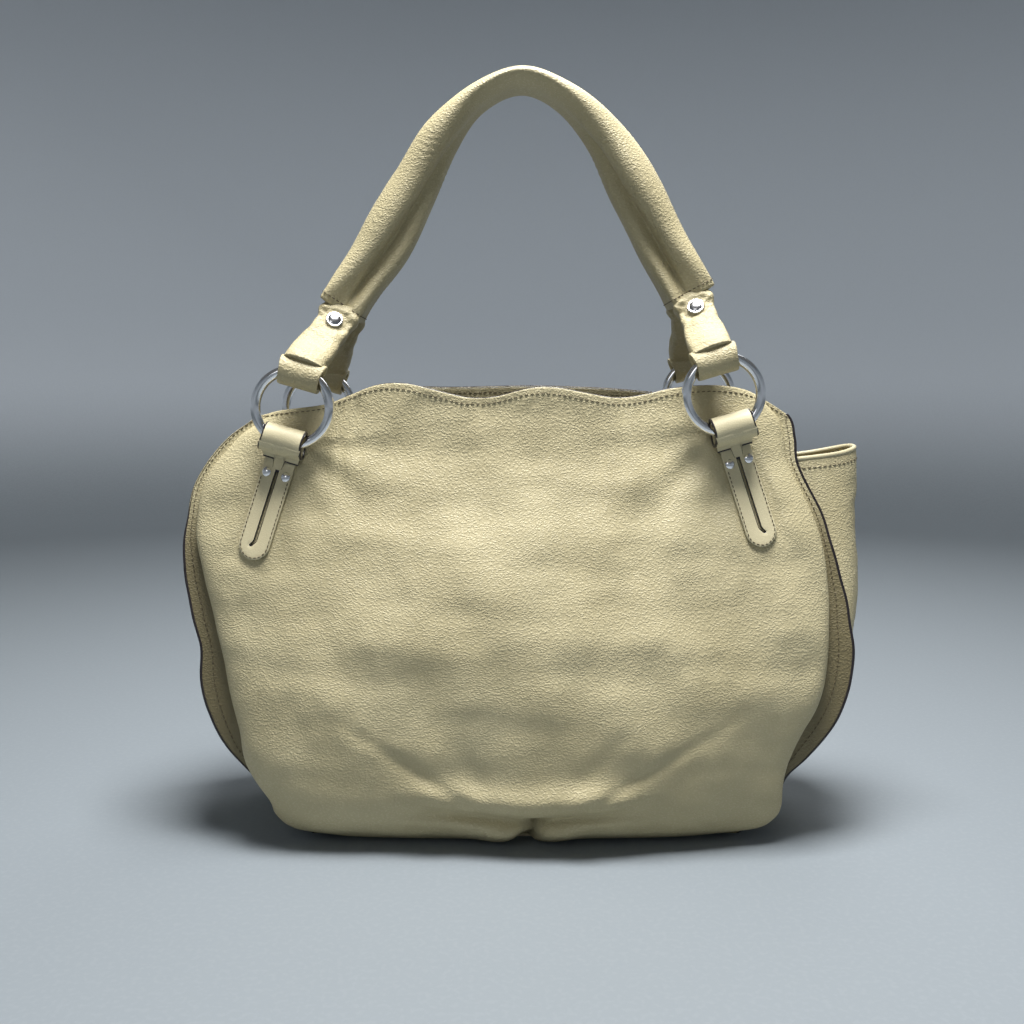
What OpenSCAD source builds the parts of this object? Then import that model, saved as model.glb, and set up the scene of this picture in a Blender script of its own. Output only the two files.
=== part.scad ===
/* [Body] */
// Width across the side seams
body_w = 424; // [350:1:520]
// Height of the top edge at its crests
body_h = 290; // [245:1:350]
// Depth of the belly, front to back
body_d = 168; // [138:1:205]
// Thickness of the panel leather
leather_t = 1.6; // [1.2:0.1:2.4]
// Width of the gusset's edge that lies in the seam
gusset_band = 9; // [6:0.5:10]
// Clearance between layers
gap = 0.3; // [0.2:0.05:0.6]

/* [Base] */
// Length of the base panel
base_w = 276; // [230:1:335]
// Depth of the base panel
base_d = 116; // [90:1:140]
// Thickness of the base panel
base_t = 2.2; // [1.6:0.1:3]
// Thickness of the stiffening board above the base panel
board_t = 2; // [1:0.1:3]
// Distance of the board's long edges inside the base panel's edges
board_inset = 14; // [10:1:24]

/* [Top facing and closure] */
// Height of the facing inside the mouth
facing_h = 42; // [30:1:60]
// Thickness of the facing
facing_t = 1.2; // [0.8:0.1:2]
// Diameter of the magnetic snap
snap_d = 18; // [12:0.5:20]
// Thickness of each half of the snap
snap_t = 2.6; // [1.5:0.1:4]
// Depth of the snap's middle below the top edge
snap_drop = 19; // [14:1:28]

/* [Lining] */
// Thickness of the lining
lining_t = 0.8; // [0.6:0.1:1.2]
// Height of the lining's top edge
lining_h = 244; // [200:1:246]
// Height of the middle of the inner zip
zip_h = 205; // [180:1:215]
// Length of the inner zip
zip_l = 160; // [120:1:180]
// Height of the zip pocket's pouch
pouch_h = 86; // [60:1:95]
// Width of the phone pocket
phone_w = 110; // [80:1:130]
// Height of the phone pocket
phone_h = 70; // [60:1:85]

/* [Rings] */
// Outer diameter of a ring
ring_d = 52.2; // [48:0.1:56]
// Thickness of the ring's wire
wire_d = 6.2; // [5:0.1:6.6]
// Distance of the left rings from the middle
ring_left = 138; // [120:1:150]
// Distance of the right rings from the middle
ring_right = 129; // [115:1:145]
// Height of the left rings' middle
ring_left_h = 275; // [265:1:280]
// Height of the right rings' middle
ring_right_h = 283; // [270:1:290]

/* [Ring tabs] */
// Lean of a tab and of the strap loop above it
tab_lean = 16; // [8:1:18]
// Width of the roll that carries the ring
roll_w = 25; // [18:0.5:27]
// Wall of the roll
roll_wall = 2.2; // [1.8:0.1:3]
// Free play of the wire in its roll
roll_play = 3.9; // [3.8:0.1:4.6]
// Width of the stitched end of the tab
tab_w = 20; // [16:0.5:24]
// Length of the tab below the roll's middle
tab_l = 76; // [60:1:84]
// Thickness of the tab
tab_t = 2.4; // [1.6:0.1:3]
// Diameter of the small rivets on a tab
tab_rivet_d = 6; // [4:0.1:7]

/* [Handle] */
// Height of the top of the handle
handle_top = 489; // [470:1:520]
// Depth of the handle over its top
handle_w = 48; // [38:1:54]
// Thickness of the handle over its top
handle_t = 12; // [9:0.5:15]
// Height of the line where the handle folds
fold_h = 366; // [366:1:372]
// Height of the left straps' upper ends
strap_left_h = 336; // [330:1:338]
// Height of the right straps' upper ends
strap_right_h = 344; // [338:1:345]
// Diameter of the rivets on the straps
rivet_d = 11; // [9:0.5:13]

/* [Hidden] */

// Scales of the outline tables, which are drawn at the bag's own size.
kx = body_w / 424;
kz = body_h / 290;
ky = body_d / 168;
function scaled(t) = [for (p = t) [p.x * kz, p.y * kx]];

// Side seams: x of the left and right seam at height z.
LEFT_SEAM = scaled([[2, -128], [10, -143], [20, -151], [31, -155], [43, -166], [61, -181], [78, -191],
    [102, -198], [126, -199], [155, -207], [188, -211], [220, -207], [240, -197], [256, -184],
    [270, -165], [292, -150]]);
RIGHT_SEAM = scaled([[2, 142], [10, 157], [20, 167], [32, 168], [43, 173], [54, 184], [67, 195],
    [84, 205], [102, 211], [128, 213], [166, 207], [206, 196], [240, 181], [256, 179], [268, 177],
    [278, 167], [292, 153]]);
// Sides of the belly, where it rises from the flat seam band.
LEFT_BELLY = scaled([[2, -114], [8, -134], [19, -146], [28, -149], [42, -157], [58, -166], [77, -172],
    [98, -178], [118, -182], [142, -188], [170, -196], [200, -202], [230, -196], [256, -177],
    [270, -158], [292, -143]]);
RIGHT_BELLY = scaled([[2, 118], [8, 148], [16, 159], [24, 162], [42, 163], [52, 166], [64, 173],
    [75, 180], [87, 187], [105, 193], [130, 196], [160, 197], [190, 194], [215, 185], [240, 174],
    [256, 172], [268, 169], [278, 160], [292, 146]]);
// Depth of the side seams and of the belly's middle at height z.
SEAM_DEPTH = [for (p = [[2, 48], [60, 54], [120, 48], [170, 38], [210, 30], [250, 24], [292, 18]])
    [p.x * kz, p.y * ky]];
BELLY_DEPTH = [for (p = [[2, 56], [12, 71], [26, 80], [60, 84], [120, 77], [170, 63], [210, 50],
    [250, 38], [292, 32]]) [p.x * kz, p.y * ky]];
// Height of the top edge at x.
TOP_EDGE = [for (p = [[-166, 269], [-150, 273], [-120, 277], [-104, 283], [-88, 289], [-70, 290],
    [-48, 285], [-30, 281], [-14, 281.5], [8, 287], [24, 287.5], [46, 283.5], [62, 281], [78, 282.5],
    [98, 287], [126, 289], [146, 286], [160, 279], [173, 271]]) [p.x * kx, p.y * kz]];
panel_foot = base_t + gap;
left_corner = TOP_EDGE[0];
right_corner = TOP_EDGE[len(TOP_EDGE) - 1];
// Squareness of the belly's level sections.
belly_power = 2.6;

// Slope of a table at its point i, and the smooth curve through a table of [x, value].
function slope(t, i) =
    let(a = t[max(i - 1, 0)], b = t[min(i + 1, len(t) - 1)]) (b.y - a.y) / (b.x - a.x);
function curve(t, x) =
    let(last = len(t) - 1,
        c = min(max(x, t[0].x), t[last].x),
        i = min(len([for (p = t) if (p.x <= c) 1]) - 1, last - 1),
        h = t[i + 1].x - t[i].x,
        s = (c - t[i].x) / h,
        s2 = s * s,
        s3 = s2 * s)
    (2 * s3 - 3 * s2 + 1) * t[i].y + (s3 - 2 * s2 + s) * h * slope(t, i)
        + (3 * s2 - 2 * s3) * t[i + 1].y + (s3 - s2) * h * slope(t, i + 1);

// Half depth of the bag's outer face at [x, z].
function panel_depth(x, z) =
    let(l = curve(LEFT_BELLY, z),
        r = curve(RIGHT_BELLY, z),
        q = min(abs(2 * x - l - r) / (r - l), 1),
        d = curve(SEAM_DEPTH, z))
    d + (curve(BELLY_DEPTH, z) - d) * pow(1 - pow(q, belly_power), 1 / belly_power);

// Signed power, for superellipses.
function spow(v, p) = sign(v) * pow(abs(v), p);
function lerp(a, b, t) = a + (b - a) * t;
// Unit normal of a grid at row j and column i, to the side that sees its rows rise
// with its columns to the right.
function clamp(v, n) = min(max(v, 0), n - 1);
function normal(g, j, i) =
    let(rows = len(g), cols = len(g[0]),
        across = g[j][clamp(i + 1, cols)] - g[j][clamp(i - 1, cols)],
        up = g[clamp(j + 1, rows)][i] - g[clamp(j - 1, rows)][i],
        n = cross(across, up))
    n / norm(n);
// Grid moved along its normals.
function offset_grid(g, d) =
    [for (j = [0 : len(g) - 1]) [for (i = [0 : len(g[0]) - 1]) g[j][i] + d * normal(g, j, i)]];

// Closed sheet between an outer grid and an inner grid.
module sheet(outer, inner) {
    rows = len(outer);
    cols = len(outer[0]);
    n = rows * cols;
    quads = [for (j = [0 : rows - 2], i = [0 : cols - 2])
        [j * cols + i, j * cols + i + 1, (j + 1) * cols + i + 1, (j + 1) * cols + i]];
    loop = concat([for (i = [0 : cols - 1]) i],
        [for (j = [1 : rows - 1]) j * cols + cols - 1],
        [for (i = [cols - 2 : -1 : 0]) (rows - 1) * cols + i],
        [for (j = [rows - 2 : -1 : 1]) j * cols]);
    polyhedron(
        points = concat([for (row = outer) each row], [for (row = inner) each row]),
        faces = concat(
            [for (q = quads) each [[q[0], q[3], q[2]], [q[0], q[2], q[1]]]],
            [for (q = quads) each [[q[0] + n, q[1] + n, q[2] + n], [q[0] + n, q[2] + n, q[3] + n]]],
            [for (k = [0 : len(loop) - 1]) let(p = loop[k], q = loop[(k + 1) % len(loop)])
                each [[p, q, q + n], [p, q + n, p + n]]]));
}

// Closed solid through level loops that run anticlockwise seen from above, bottom loop first.
module loft(loops) {
    m = len(loops[0]);
    last = len(loops) - 1;
    polyhedron(
        points = [for (l = loops) each l],
        faces = concat(
            [for (k = [0 : last - 1], i = [0 : m - 1]) let(a = k * m + i, b = k * m + (i + 1) % m)
                each [[a, a + m, b + m], [a, b + m, b]]],
            [[for (i = [0 : m - 1]) i]],
            [[for (i = [m - 1 : -1 : 0]) last * m + i]]));
}

// Open tube between outer loops and inner loops, laid out as for loft.
module sleeve(outer, inner) {
    m = len(outer[0]);
    n = len(outer) * m;
    last = len(outer) - 1;
    turn = [for (k = [0 : last - 1], i = [0 : m - 1]) let(a = k * m + i, b = k * m + (i + 1) % m) [a, b, b + m, a + m]];
    polyhedron(
        points = concat([for (l = outer) each l], [for (l = inner) each l]),
        faces = concat(
            [for (q = turn) each [[q[0], q[3], q[2]], [q[0], q[2], q[1]]]],
            [for (q = turn) each [[q[0] + n, q[2] + n, q[3] + n], [q[0] + n, q[1] + n, q[2] + n]]],
            [for (i = [0 : m - 1]) let(a = i, b = (i + 1) % m) each [[a, b, b + n], [a, b + n, a + n]]],
            [for (i = [0 : m - 1]) let(a = last * m + i, b = last * m + (i + 1) % m)
                each [[a, b + n, b], [a, a + n, b + n]]]));
}

// ---- Panels ----
PANEL_COLS = 30;
PANEL_ROWS = 18;
// x of column i of the row whose ends lie at heights zl and zr: two columns on each flat band,
// and the rest close together where the belly rises.
function panel_x(i, zl, zr) =
    let(c = cos(180 * (i - 2) / (PANEL_COLS - 4)))
    i < 2 ? lerp(curve(LEFT_SEAM, zl), curve(LEFT_BELLY, zl), i / 2)
        : i > PANEL_COLS - 2 ? lerp(curve(RIGHT_SEAM, zr), curve(RIGHT_BELLY, zr), (PANEL_COLS - i) / 2)
        : lerp(curve(LEFT_BELLY, zl), curve(RIGHT_BELLY, zr), (1 - spow(c, 2 / belly_power)) / 2);
function panel_point(i, v) =
    let(zl = lerp(panel_foot, left_corner.y, v),
        zr = lerp(panel_foot, right_corner.y, v),
        x = panel_x(i, zl, zr),
        u = (x - curve(LEFT_SEAM, zl)) / (curve(RIGHT_SEAM, zr) - curve(LEFT_SEAM, zl)),
        xt = lerp(left_corner.x, right_corner.x, u),
        z = lerp(zl, zr, u) + pow(v, 3) * (curve(TOP_EDGE, xt) - lerp(left_corner.y, right_corner.y, u)))
    [x, -panel_depth(x, z), z];

module panel() {
    face = [for (j = [0 : PANEL_ROWS])
        [for (i = [0 : PANEL_COLS]) panel_point(i, pow(j / PANEL_ROWS, 1.4))]];
    sheet(face, offset_grid(face, -leather_t));
}

module front_panel() {
    color("#c2b48a") panel();
}

module back_panel() {
    color("#c2b48a") mirror([0, 1, 0]) panel();
}

module rounded_plate(w, d, t, r) {
    linear_extrude(t)
        union() {
            square([w - 2 * r, d], center = true);
            square([w, d - 2 * r], center = true);
            for (x = [-1, 1], y = [-1, 1])
                translate([x * (w / 2 - r), y * (d / 2 - r)]) circle(r, $fn = 64);
        }
}

base_mid = (LEFT_SEAM[0].y + RIGHT_SEAM[0].y) / 2;
base_r = 18;
module base_panel() {
    color("#b3a57c") translate([base_mid, 0, 0]) rounded_plate(base_w, base_d, base_t, base_r);
}

// How far a gusset's wall bows into the bag, and how far its top edge dips.
gusset_bow = 3;
gusset_dip = 5;
board_z = base_t + gap;
board_play = 3;
// The board lies between the gussets' feet.
board_w = RIGHT_SEAM[0].y - LEFT_SEAM[0].y - 2 * (gusset_band + leather_t + gusset_bow + board_play);
module base_board() {
    color("#6b5a45") translate([base_mid, 0, board_z])
        rounded_plate(board_w, base_d - 2 * board_inset, board_t, base_r / 2);
}

// ---- Gussets and side pockets ----
GUSSET_ROWS = 14;
WALL_COLS = 8;
gusset_top = 250 * kz;
gusset_foot = panel_foot;
function seam_x(side, z) = curve(side > 0 ? RIGHT_SEAM : LEFT_SEAM, z);
// Columns of a gusset's row at height z, from front to back; layer is the leather's own face.
function gusset_row(side, z, layer) =
    let(x = seam_x(side, z),
        y = curve(SEAM_DEPTH, z) - leather_t - gap - layer,
        wall = gusset_band + leather_t - layer,
        row = concat([[x, -y, z], [x - side * wall, -y, z]],
            [for (k = [1 : WALL_COLS - 1]) let(f = 2 * k / WALL_COLS - 1)
                [x - side * (wall + gusset_bow * (1 - f * f)), y * f,
                    z - gusset_dip * (1 - f * f) * pow(z / gusset_top, 4)]],
            [[x - side * wall, y, z], [x, y, z]]))
    side > 0 ? row : [for (i = [len(row) - 1 : -1 : 0]) row[i]];

module gusset(side) {
    heights = [for (j = [0 : GUSSET_ROWS]) lerp(gusset_foot, gusset_top, j / GUSSET_ROWS)];
    sheet([for (z = heights) gusset_row(side, z, leather_t)], [for (z = heights) gusset_row(side, z, 0)]);
}

module gusset_left() {
    color("#b3a57c") gusset(-1);
}

module gusset_right() {
    color("#b3a57c") gusset(1);
}

// Outermost x of each pocket at height z.
POCKET_LEFT = scaled([[18, -150], [60, -183], [100, -199], [140, -205], [188, -212], [215, -210],
    [245, -200]]);
POCKET_RIGHT = scaled([[18, 166], [60, 194], [100, 213], [140, 224], [175, 227], [213, 226],
    [250, 223]]);
POCKET_COLS = 14;
POCKET_ROWS = 12;
pocket_foot = 18 * kz;
pocket_top = 241 * kz;
pocket_root = 6;
function pocket_point(side, z, a, layer) =
    let(root = seam_x(side, z) - side * pocket_root,
        out = side * (curve(side > 0 ? POCKET_RIGHT : POCKET_LEFT, z) - root) - layer,
        y = curve(SEAM_DEPTH, z) - 2 * leather_t - 2 * gap - 0.4 - layer)
    [root + side * out * pow(cos(a), 0.8), y * spow(sin(a), 0.8), z + 7 * cos(a) * pow(z / pocket_top, 3)];

module side_pocket(side) {
    heights = [for (j = [0 : POCKET_ROWS]) lerp(pocket_foot, pocket_top, j / POCKET_ROWS)];
    angles = [for (i = [0 : POCKET_COLS]) side * (180 * i / POCKET_COLS - 90)];
    sheet([for (z = heights) [for (a = angles) pocket_point(side, z, a, 0)]],
        [for (z = heights) [for (a = angles) pocket_point(side, z, a, leather_t)]]);
}

module side_pocket_left() {
    color("#c2b48a") side_pocket(-1);
}

module side_pocket_right() {
    color("#c2b48a") side_pocket(1);
}

// ---- Facings and closure ----
FACING_COLS = 22;
FACING_ROWS = 4;
facing_end = 26;
// Half depth of a face that lies d inside the bag's outer face.
function inner_depth(x, z, d) =
    min(panel_depth(x, z) - d,
        min([for (a = [0 : 45 : 315]) panel_depth(x + 0.8 * d * cos(a), z + 0.8 * d * sin(a)) - 0.6 * d]));
// Room between a panel and the facing, which bridges its shallow curves.
facing_gap = 1.1;
function facing_point(i, j, layer) =
    let(x = lerp(left_corner.x + facing_end, right_corner.x - facing_end, i / FACING_COLS),
        z = curve(TOP_EDGE, x) - 0.5 - facing_h * (1 - j / FACING_ROWS))
    [x, -inner_depth(x, z, leather_t + facing_gap + layer), z];

module facing() {
    sheet([for (j = [0 : FACING_ROWS]) [for (i = [0 : FACING_COLS]) facing_point(i, j, 0)]],
        [for (j = [0 : FACING_ROWS]) [for (i = [0 : FACING_COLS]) facing_point(i, j, facing_t)]]);
}

module top_facing_front() {
    color("#b3a57c") facing();
}

module top_facing_back() {
    color("#b3a57c") mirror([0, 1, 0]) facing();
}

snap_x = 0;
snap_z = curve(TOP_EDGE, snap_x) - snap_drop;
snap_y = -inner_depth(snap_x, snap_z, leather_t + facing_gap + facing_t) + gap;
snap_lean = atan((panel_depth(snap_x, snap_z - 5) - panel_depth(snap_x, snap_z + 5)) / 10);
snap_pin_d = 6;
// Frame of a snap half: +Z points from the facing into the bag.
module at_snap() {
    translate([snap_x, snap_y, snap_z]) rotate([-90 - snap_lean, 0, 0]) translate([0, 0, gap]) children();
}

module snap_stud() {
    color("silver") at_snap() {
        cylinder(d = snap_d, h = snap_t, $fn = 64);
        translate([0, 0, snap_t]) cylinder(d1 = snap_pin_d, d2 = snap_pin_d - 1, h = 2, $fn = 48);
    }
}

module snap_socket() {
    color("silver") mirror([0, 1, 0]) at_snap()
        difference() {
            cylinder(d = snap_d, h = snap_t, $fn = 64);
            translate([0, 0, snap_t - 2]) cylinder(d = snap_pin_d + 1, h = 2 + gap, $fn = 48);
        }
}

// ---- Lining and inner pockets ----
LINING_SIDES = 36;
LINING_ROWS = 12;
lining_power = 4;
side_room = 6;
lining_foot = board_z + board_t + gap;
lining_inset = 1.12 * leather_t + facing_gap + facing_t + 1;
function lining_depth(z) =
    min(curve(BELLY_DEPTH, z), curve(BELLY_DEPTH, max(z - 9, 0))) - lining_inset;
function lining_loop(z, layer) =
    let(l = curve(LEFT_SEAM, z), r = curve(RIGHT_SEAM, z),
        a = (r - l) / 2 - gusset_band - leather_t - gusset_bow - side_room - layer,
        b = lining_depth(z) - layer)
    [for (i = [0 : LINING_SIDES - 1]) let(w = 360 * i / LINING_SIDES)
        [(l + r) / 2 + a * spow(cos(w), 2 / lining_power), b * spow(sin(w), 2 / lining_power), z]];

module lining() {
    heights = [for (j = [0 : LINING_ROWS]) lerp(lining_foot, lining_h * kz, pow(j / LINING_ROWS, 1.3))];
    color("#8d7a5a")
        difference() {
            loft([for (z = heights) lining_loop(z, 0)]);
            loft([for (j = [0 : LINING_ROWS])
                lining_loop(heights[j] + (j == 0 ? lining_t : j == LINING_ROWS ? 1 : 0), lining_t)]);
        }
}

// Share of its full depth that the lining keeps behind the inner pockets' ends.
lining_flat = 0.975;
// Frame on the lining's inner face, from height z down to z - drop: +X along the bag, +Z up the wall, -Y into the bag.
module at_back_lining(z, drop) {
    lean = atan((lining_depth(z - drop) - lining_depth(z)) / drop);
    translate([0, (lining_depth(z) - lining_t) * lining_flat, z]) rotate([lean, 0, 0])
        translate([0, -gap, 0]) children();
}

pouch_t = 1.6;
pouch_margin = 12;
welt_t = 1.2;
welt_w = 16;
slot_w = 7;
zip_z = -welt_w / 2;
module zip_pouch() {
    color("#8d7a5a") at_back_lining(zip_h * kz, pouch_h)
        translate([-zip_l / 2 - pouch_margin, -pouch_t, -pouch_h])
        cube([zip_l + 2 * pouch_margin, pouch_t, pouch_h]);
}

// Frame of the zip: the slot's middle on the pouch's face.
module at_zip() {
    at_back_lining(zip_h * kz, pouch_h) translate([0, -pouch_t - gap, zip_z - 3]) children();
}

module zip_welt() {
    color("#b3a57c") at_zip()
        difference() {
            translate([-zip_l / 2 - 8, -welt_t, -welt_w / 2]) cube([zip_l + 16, welt_t, welt_w]);
            translate([-zip_l / 2, -welt_t - 1, -slot_w / 2]) cube([zip_l, welt_t + 2, slot_w]);
        }
}

teeth_w = 2.4;
tape_t = 0.6;
module zip_tape() {
    color("#4a4238") at_zip()
        for (s = [-1, 1])
            translate([-zip_l / 2 + gap, -tape_t, s > 0 ? teeth_w / 2 : -slot_w / 2 + gap])
                cube([zip_l - 2 * gap, tape_t, slot_w / 2 - teeth_w / 2 - gap]);
}

tooth_pitch = 2.5;
module zip_teeth() {
    color("silver") at_zip()
        for (i = [0 : floor((zip_l - 4) / tooth_pitch)])
            translate([-zip_l / 2 + 2 + i * tooth_pitch, -teeth_t, -teeth_w / 2])
                cube([tooth_pitch - gap, teeth_t, teeth_w]);
}

teeth_t = 1.4;
slider_l = 9;
slider_x = -zip_l / 2 + slider_l / 2 + 2;
slider_y = -teeth_t - gap;
// Thickness of the slider's body, height of its ears over that, and the pull's own thickness.
slider_t = 1.5;
ear_t = 2.2;
pull_t = 1.2;
pull_w = 3;
pull_l = 22;
pull_pin_d = 1.2;
pin_play = 0.08;
pull_y = slider_y - slider_t - ear_t / 2;
module zip_slider() {
    color("silver") at_zip()
        difference() {
            translate([slider_x - slider_l / 2, slider_y - slider_t - ear_t, -slot_w / 2 + 0.5])
                cube([slider_l, slider_t + ear_t, slot_w - 1]);
            translate([slider_x - slider_l, slider_y - slider_t - 2 * ear_t, -pull_w / 2 - gap])
                cube([2 * slider_l, 2 * ear_t, pull_w + 2 * gap]);
            translate([slider_x, pull_y, -slot_w])
                cylinder(r = pull_pin_d / 2 + pin_play, h = 2 * slot_w, $fn = 24);
        }
}

// The pull turns on a pin that lies across the zip.
module zip_pull() {
    color("silver") at_zip() translate([slider_x, pull_y, 0]) {
        translate([0, 0, -slot_w / 2 + 0.6]) cylinder(d = pull_pin_d, h = slot_w - 1.2, $fn = 24);
        translate([-pull_l, -pull_t / 2, -pull_w / 2]) cube([pull_l, pull_t, pull_w]);
    }
}

phone_t = 1;
phone_gap = 3;
module phone_pocket() {
    color("#8d7a5a") mirror([0, 1, 0]) at_back_lining(zip_h * kz, phone_h)
        difference() {
            translate([-phone_w / 2, -phone_gap - phone_t, -phone_h])
                cube([phone_w, phone_gap + phone_t, phone_h]);
            translate([-phone_w / 2 + phone_t, -phone_gap, -phone_h + phone_t])
                cube([phone_w - 2 * phone_t, phone_gap + 1, phone_h]);
        }
}

// ---- Rings ----
ring_r = (ring_d - wire_d) / 2;
cavity_r = wire_d / 2 + roll_play;
roll_r = cavity_r + roll_wall;
// How far the wire hangs below the middle of the roll's cavity.
wire_sag = 1.7;
hinge_r = ring_r - wire_sag;
function outward(side) = side > 0 ? 1 : -1;
function ring_x(side) = side > 0 ? ring_right * kx : -ring_left * kx;
function ring_z(side) = (side > 0 ? ring_right_h : ring_left_h) + (body_h - 290);
// From a ring's middle to the middle of its tab's roll.
function to_tab(side) = [outward(side) * hinge_r * sin(tab_lean), 0, -hinge_r * cos(tab_lean)];
function tab_x(side) = ring_x(side) + to_tab(side).x;
function tab_z(side) = ring_z(side) + to_tab(side).z;
// Depth of the ring planes, so that every roll lies just clear of its panel.
ring_y = max([for (side = [-1, 1], e = [-roll_w / 2, 0, roll_w / 2], a = [-80 : 10 : 80])
    panel_depth(tab_x(side) + e * cos(tab_lean), tab_z(side) + outward(side) * e * sin(tab_lean)
        + roll_r * sin(a)) + roll_r * cos(a)]) + gap;

module ring(side) {
    color("silver") translate([ring_x(side), -ring_y, ring_z(side)]) rotate([90, 0, 0])
        rotate_extrude($fn = 96) translate([ring_r, 0]) circle(d = wire_d, $fn = 48);
}

module ring_front_left() {
    ring(-1);
}

module ring_front_right() {
    ring(1);
}

module ring_back_left() {
    mirror([0, 1, 0]) ring(-1);
}

module ring_back_right() {
    mirror([0, 1, 0]) ring(1);
}

// Frame of a roll: +X along the roll, middle of its cavity at the origin.
module at_roll(side, top) {
    f = top ? -1 : 1;
    translate([ring_x(side) + f * to_tab(side).x, -ring_y, ring_z(side) + f * to_tab(side).z])
        rotate([0, -outward(side) * tab_lean, 0]) children();
}

module roll_shape(r, w) {
    rotate([0, 90, 0]) cylinder(r = r, h = w, center = true, $fn = 72);
}

// ---- Ring tabs ----
TAB_COLS = 6;
TAB_ROWS = 14;
neck_s = 20;
// Half width of the tab at distance s below its roll's middle.
function tab_half(s) =
    s < neck_s ? lerp(roll_w / 2, tab_w / 2, pow(s / neck_s, 2))
        : s < tab_l - tab_w / 2 ? tab_w / 2
        : tab_w / 2 * sqrt(max(1 - pow((s - tab_l + tab_w / 2) / (tab_w / 2), 2), 0.02));
// Point of the bag's face s below and e across from the middle of the tab's roll.
function tab_face(side, s, e, lift) =
    let(x = tab_x(side) + outward(side) * s * sin(tab_lean) + e * cos(tab_lean),
        z = tab_z(side) - s * cos(tab_lean) + outward(side) * e * sin(tab_lean))
    [x, -max(panel_depth(x, z) + gap, lerp(ring_y - roll_seat, 0, (s - tab_start) / neck_s)) - lift, z];
tab_start = 7;
// Depth of the roll's back at tab_start, kept just inside its wall.
roll_seat = sqrt(roll_r * roll_r - tab_start * tab_start) - 0.4;
slot_top = 20;
slot_end = 68;
slot_d = 2.2;
rivet_s = 22;
rivet_e = 6.4;

module ring_tab(side) {
    rows = [for (j = [TAB_ROWS : -1 : 0]) tab_start + (tab_l - 0.2 - tab_start) * (1 - pow(1 - j / TAB_ROWS, 1.5))];
    across = [for (i = [0 : TAB_COLS]) 2 * i / TAB_COLS - 1];
    color("#b7a67c")
        difference() {
            union() {
                sheet([for (s = rows) [for (e = across) tab_face(side, s, e * tab_half(s), tab_t)]],
                    [for (s = rows) [for (e = across) tab_face(side, s, e * tab_half(s), 0)]]);
                at_roll(side, false) roll_shape(roll_r, roll_w);
            }
            at_roll(side, false) roll_shape(cavity_r, roll_w + 2);
            at_roll(side, false) translate([-slot_d / 2, -40, -slot_end]) cube([slot_d, 60, slot_end - slot_top]);
            for (e = [-rivet_e, rivet_e])
                at_tab_rivet(side, e) cylinder(d = tab_rivet_d / 2, h = 3 * tab_t, center = true, $fn = 32);
        }
}

// Frame of a tab rivet: +Z out of the bag, origin on the tab's outer face.
module at_tab_rivet(side, e) {
    p = tab_face(side, rivet_s, e, tab_t);
    high = tab_face(side, rivet_s - 4, e, tab_t);
    low = tab_face(side, rivet_s + 4, e, tab_t);
    lean = atan((high.y - low.y) / (high.z - low.z));
    turn = atan((tab_face(side, rivet_s, e + 4, tab_t).y - tab_face(side, rivet_s, e - 4, tab_t).y) / 8);
    translate(p) rotate([90 - lean, 0, 0]) rotate([0, turn, 0]) children();
}

rivet_pin_cut = 0.3;
module tab_rivets(side) {
    color("silver")
        for (e = [-rivet_e, rivet_e])
            at_tab_rivet(side, e) {
                translate([0, 0, gap]) intersection() {
                    translate([0, 0, -tab_rivet_d / 2]) sphere(r = tab_rivet_d * 0.71, $fn = 48);
                    cylinder(d = tab_rivet_d, h = tab_rivet_d, $fn = 48);
                }
                translate([0, 0, -tab_t + rivet_pin_cut])
                    cylinder(d = tab_rivet_d / 2 - 2 * rivet_pin_cut, h = tab_t + gap, $fn = 32);
            }
}

module ring_tab_front_left() {
    ring_tab(-1);
}

module ring_tab_front_right() {
    ring_tab(1);
}

module ring_tab_back_left() {
    mirror([0, 1, 0]) ring_tab(-1);
}

module ring_tab_back_right() {
    mirror([0, 1, 0]) ring_tab(1);
}

module tab_rivets_front_left() {
    tab_rivets(-1);
}

module tab_rivets_front_right() {
    tab_rivets(1);
}

module tab_rivets_back_left() {
    mirror([0, 1, 0]) tab_rivets(-1);
}

module tab_rivets_back_right() {
    mirror([0, 1, 0]) tab_rivets(1);
}

// ---- Handle ----
rise = body_h - 290;
// Middle line of the handle's arch, [x, z], from its left foot over the top to its right foot.
ARCH = [for (p = [[-87, 378], [-68, 412], [-47, 448], [-24, 472], [5, 483], [34, 471], [59, 446],
    [80, 411], [97, 378]]) [p.x * kx, 378 + (p.y - 378) * (handle_top - 378) / 111 + rise]];
fold_z = fold_h + rise;
// Half thickness in the arch's plane and half depth across it, by the part f of its length.
ARCH_THICK = [[0, 16], [0.1, 16], [0.22, 13], [0.36, 8.5], [0.5, handle_t / 2], [0.64, 8.5],
    [0.78, 13], [0.9, 16], [1, 16]];
ARCH_DEPTH = [[0, 14], [0.1, 18], [0.22, 21], [0.36, 0.48 * handle_w], [0.5, handle_w / 2],
    [0.64, 0.48 * handle_w], [0.78, 21], [0.9, 18], [1, 14]];
HANDLE_SIDES = 20;
HANDLE_RINGS = 30;
// Depth and half width of the groove along the handle's inner side.
groove = 0.5;
groove_w = 45;

function path_point(path, f) =
    let(n = len(path) - 1, t = f * n)
    [curve([for (i = [0 : n]) [i, path[i].x]], t), curve([for (i = [0 : n]) [i, path[i].y]], t)];
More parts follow.
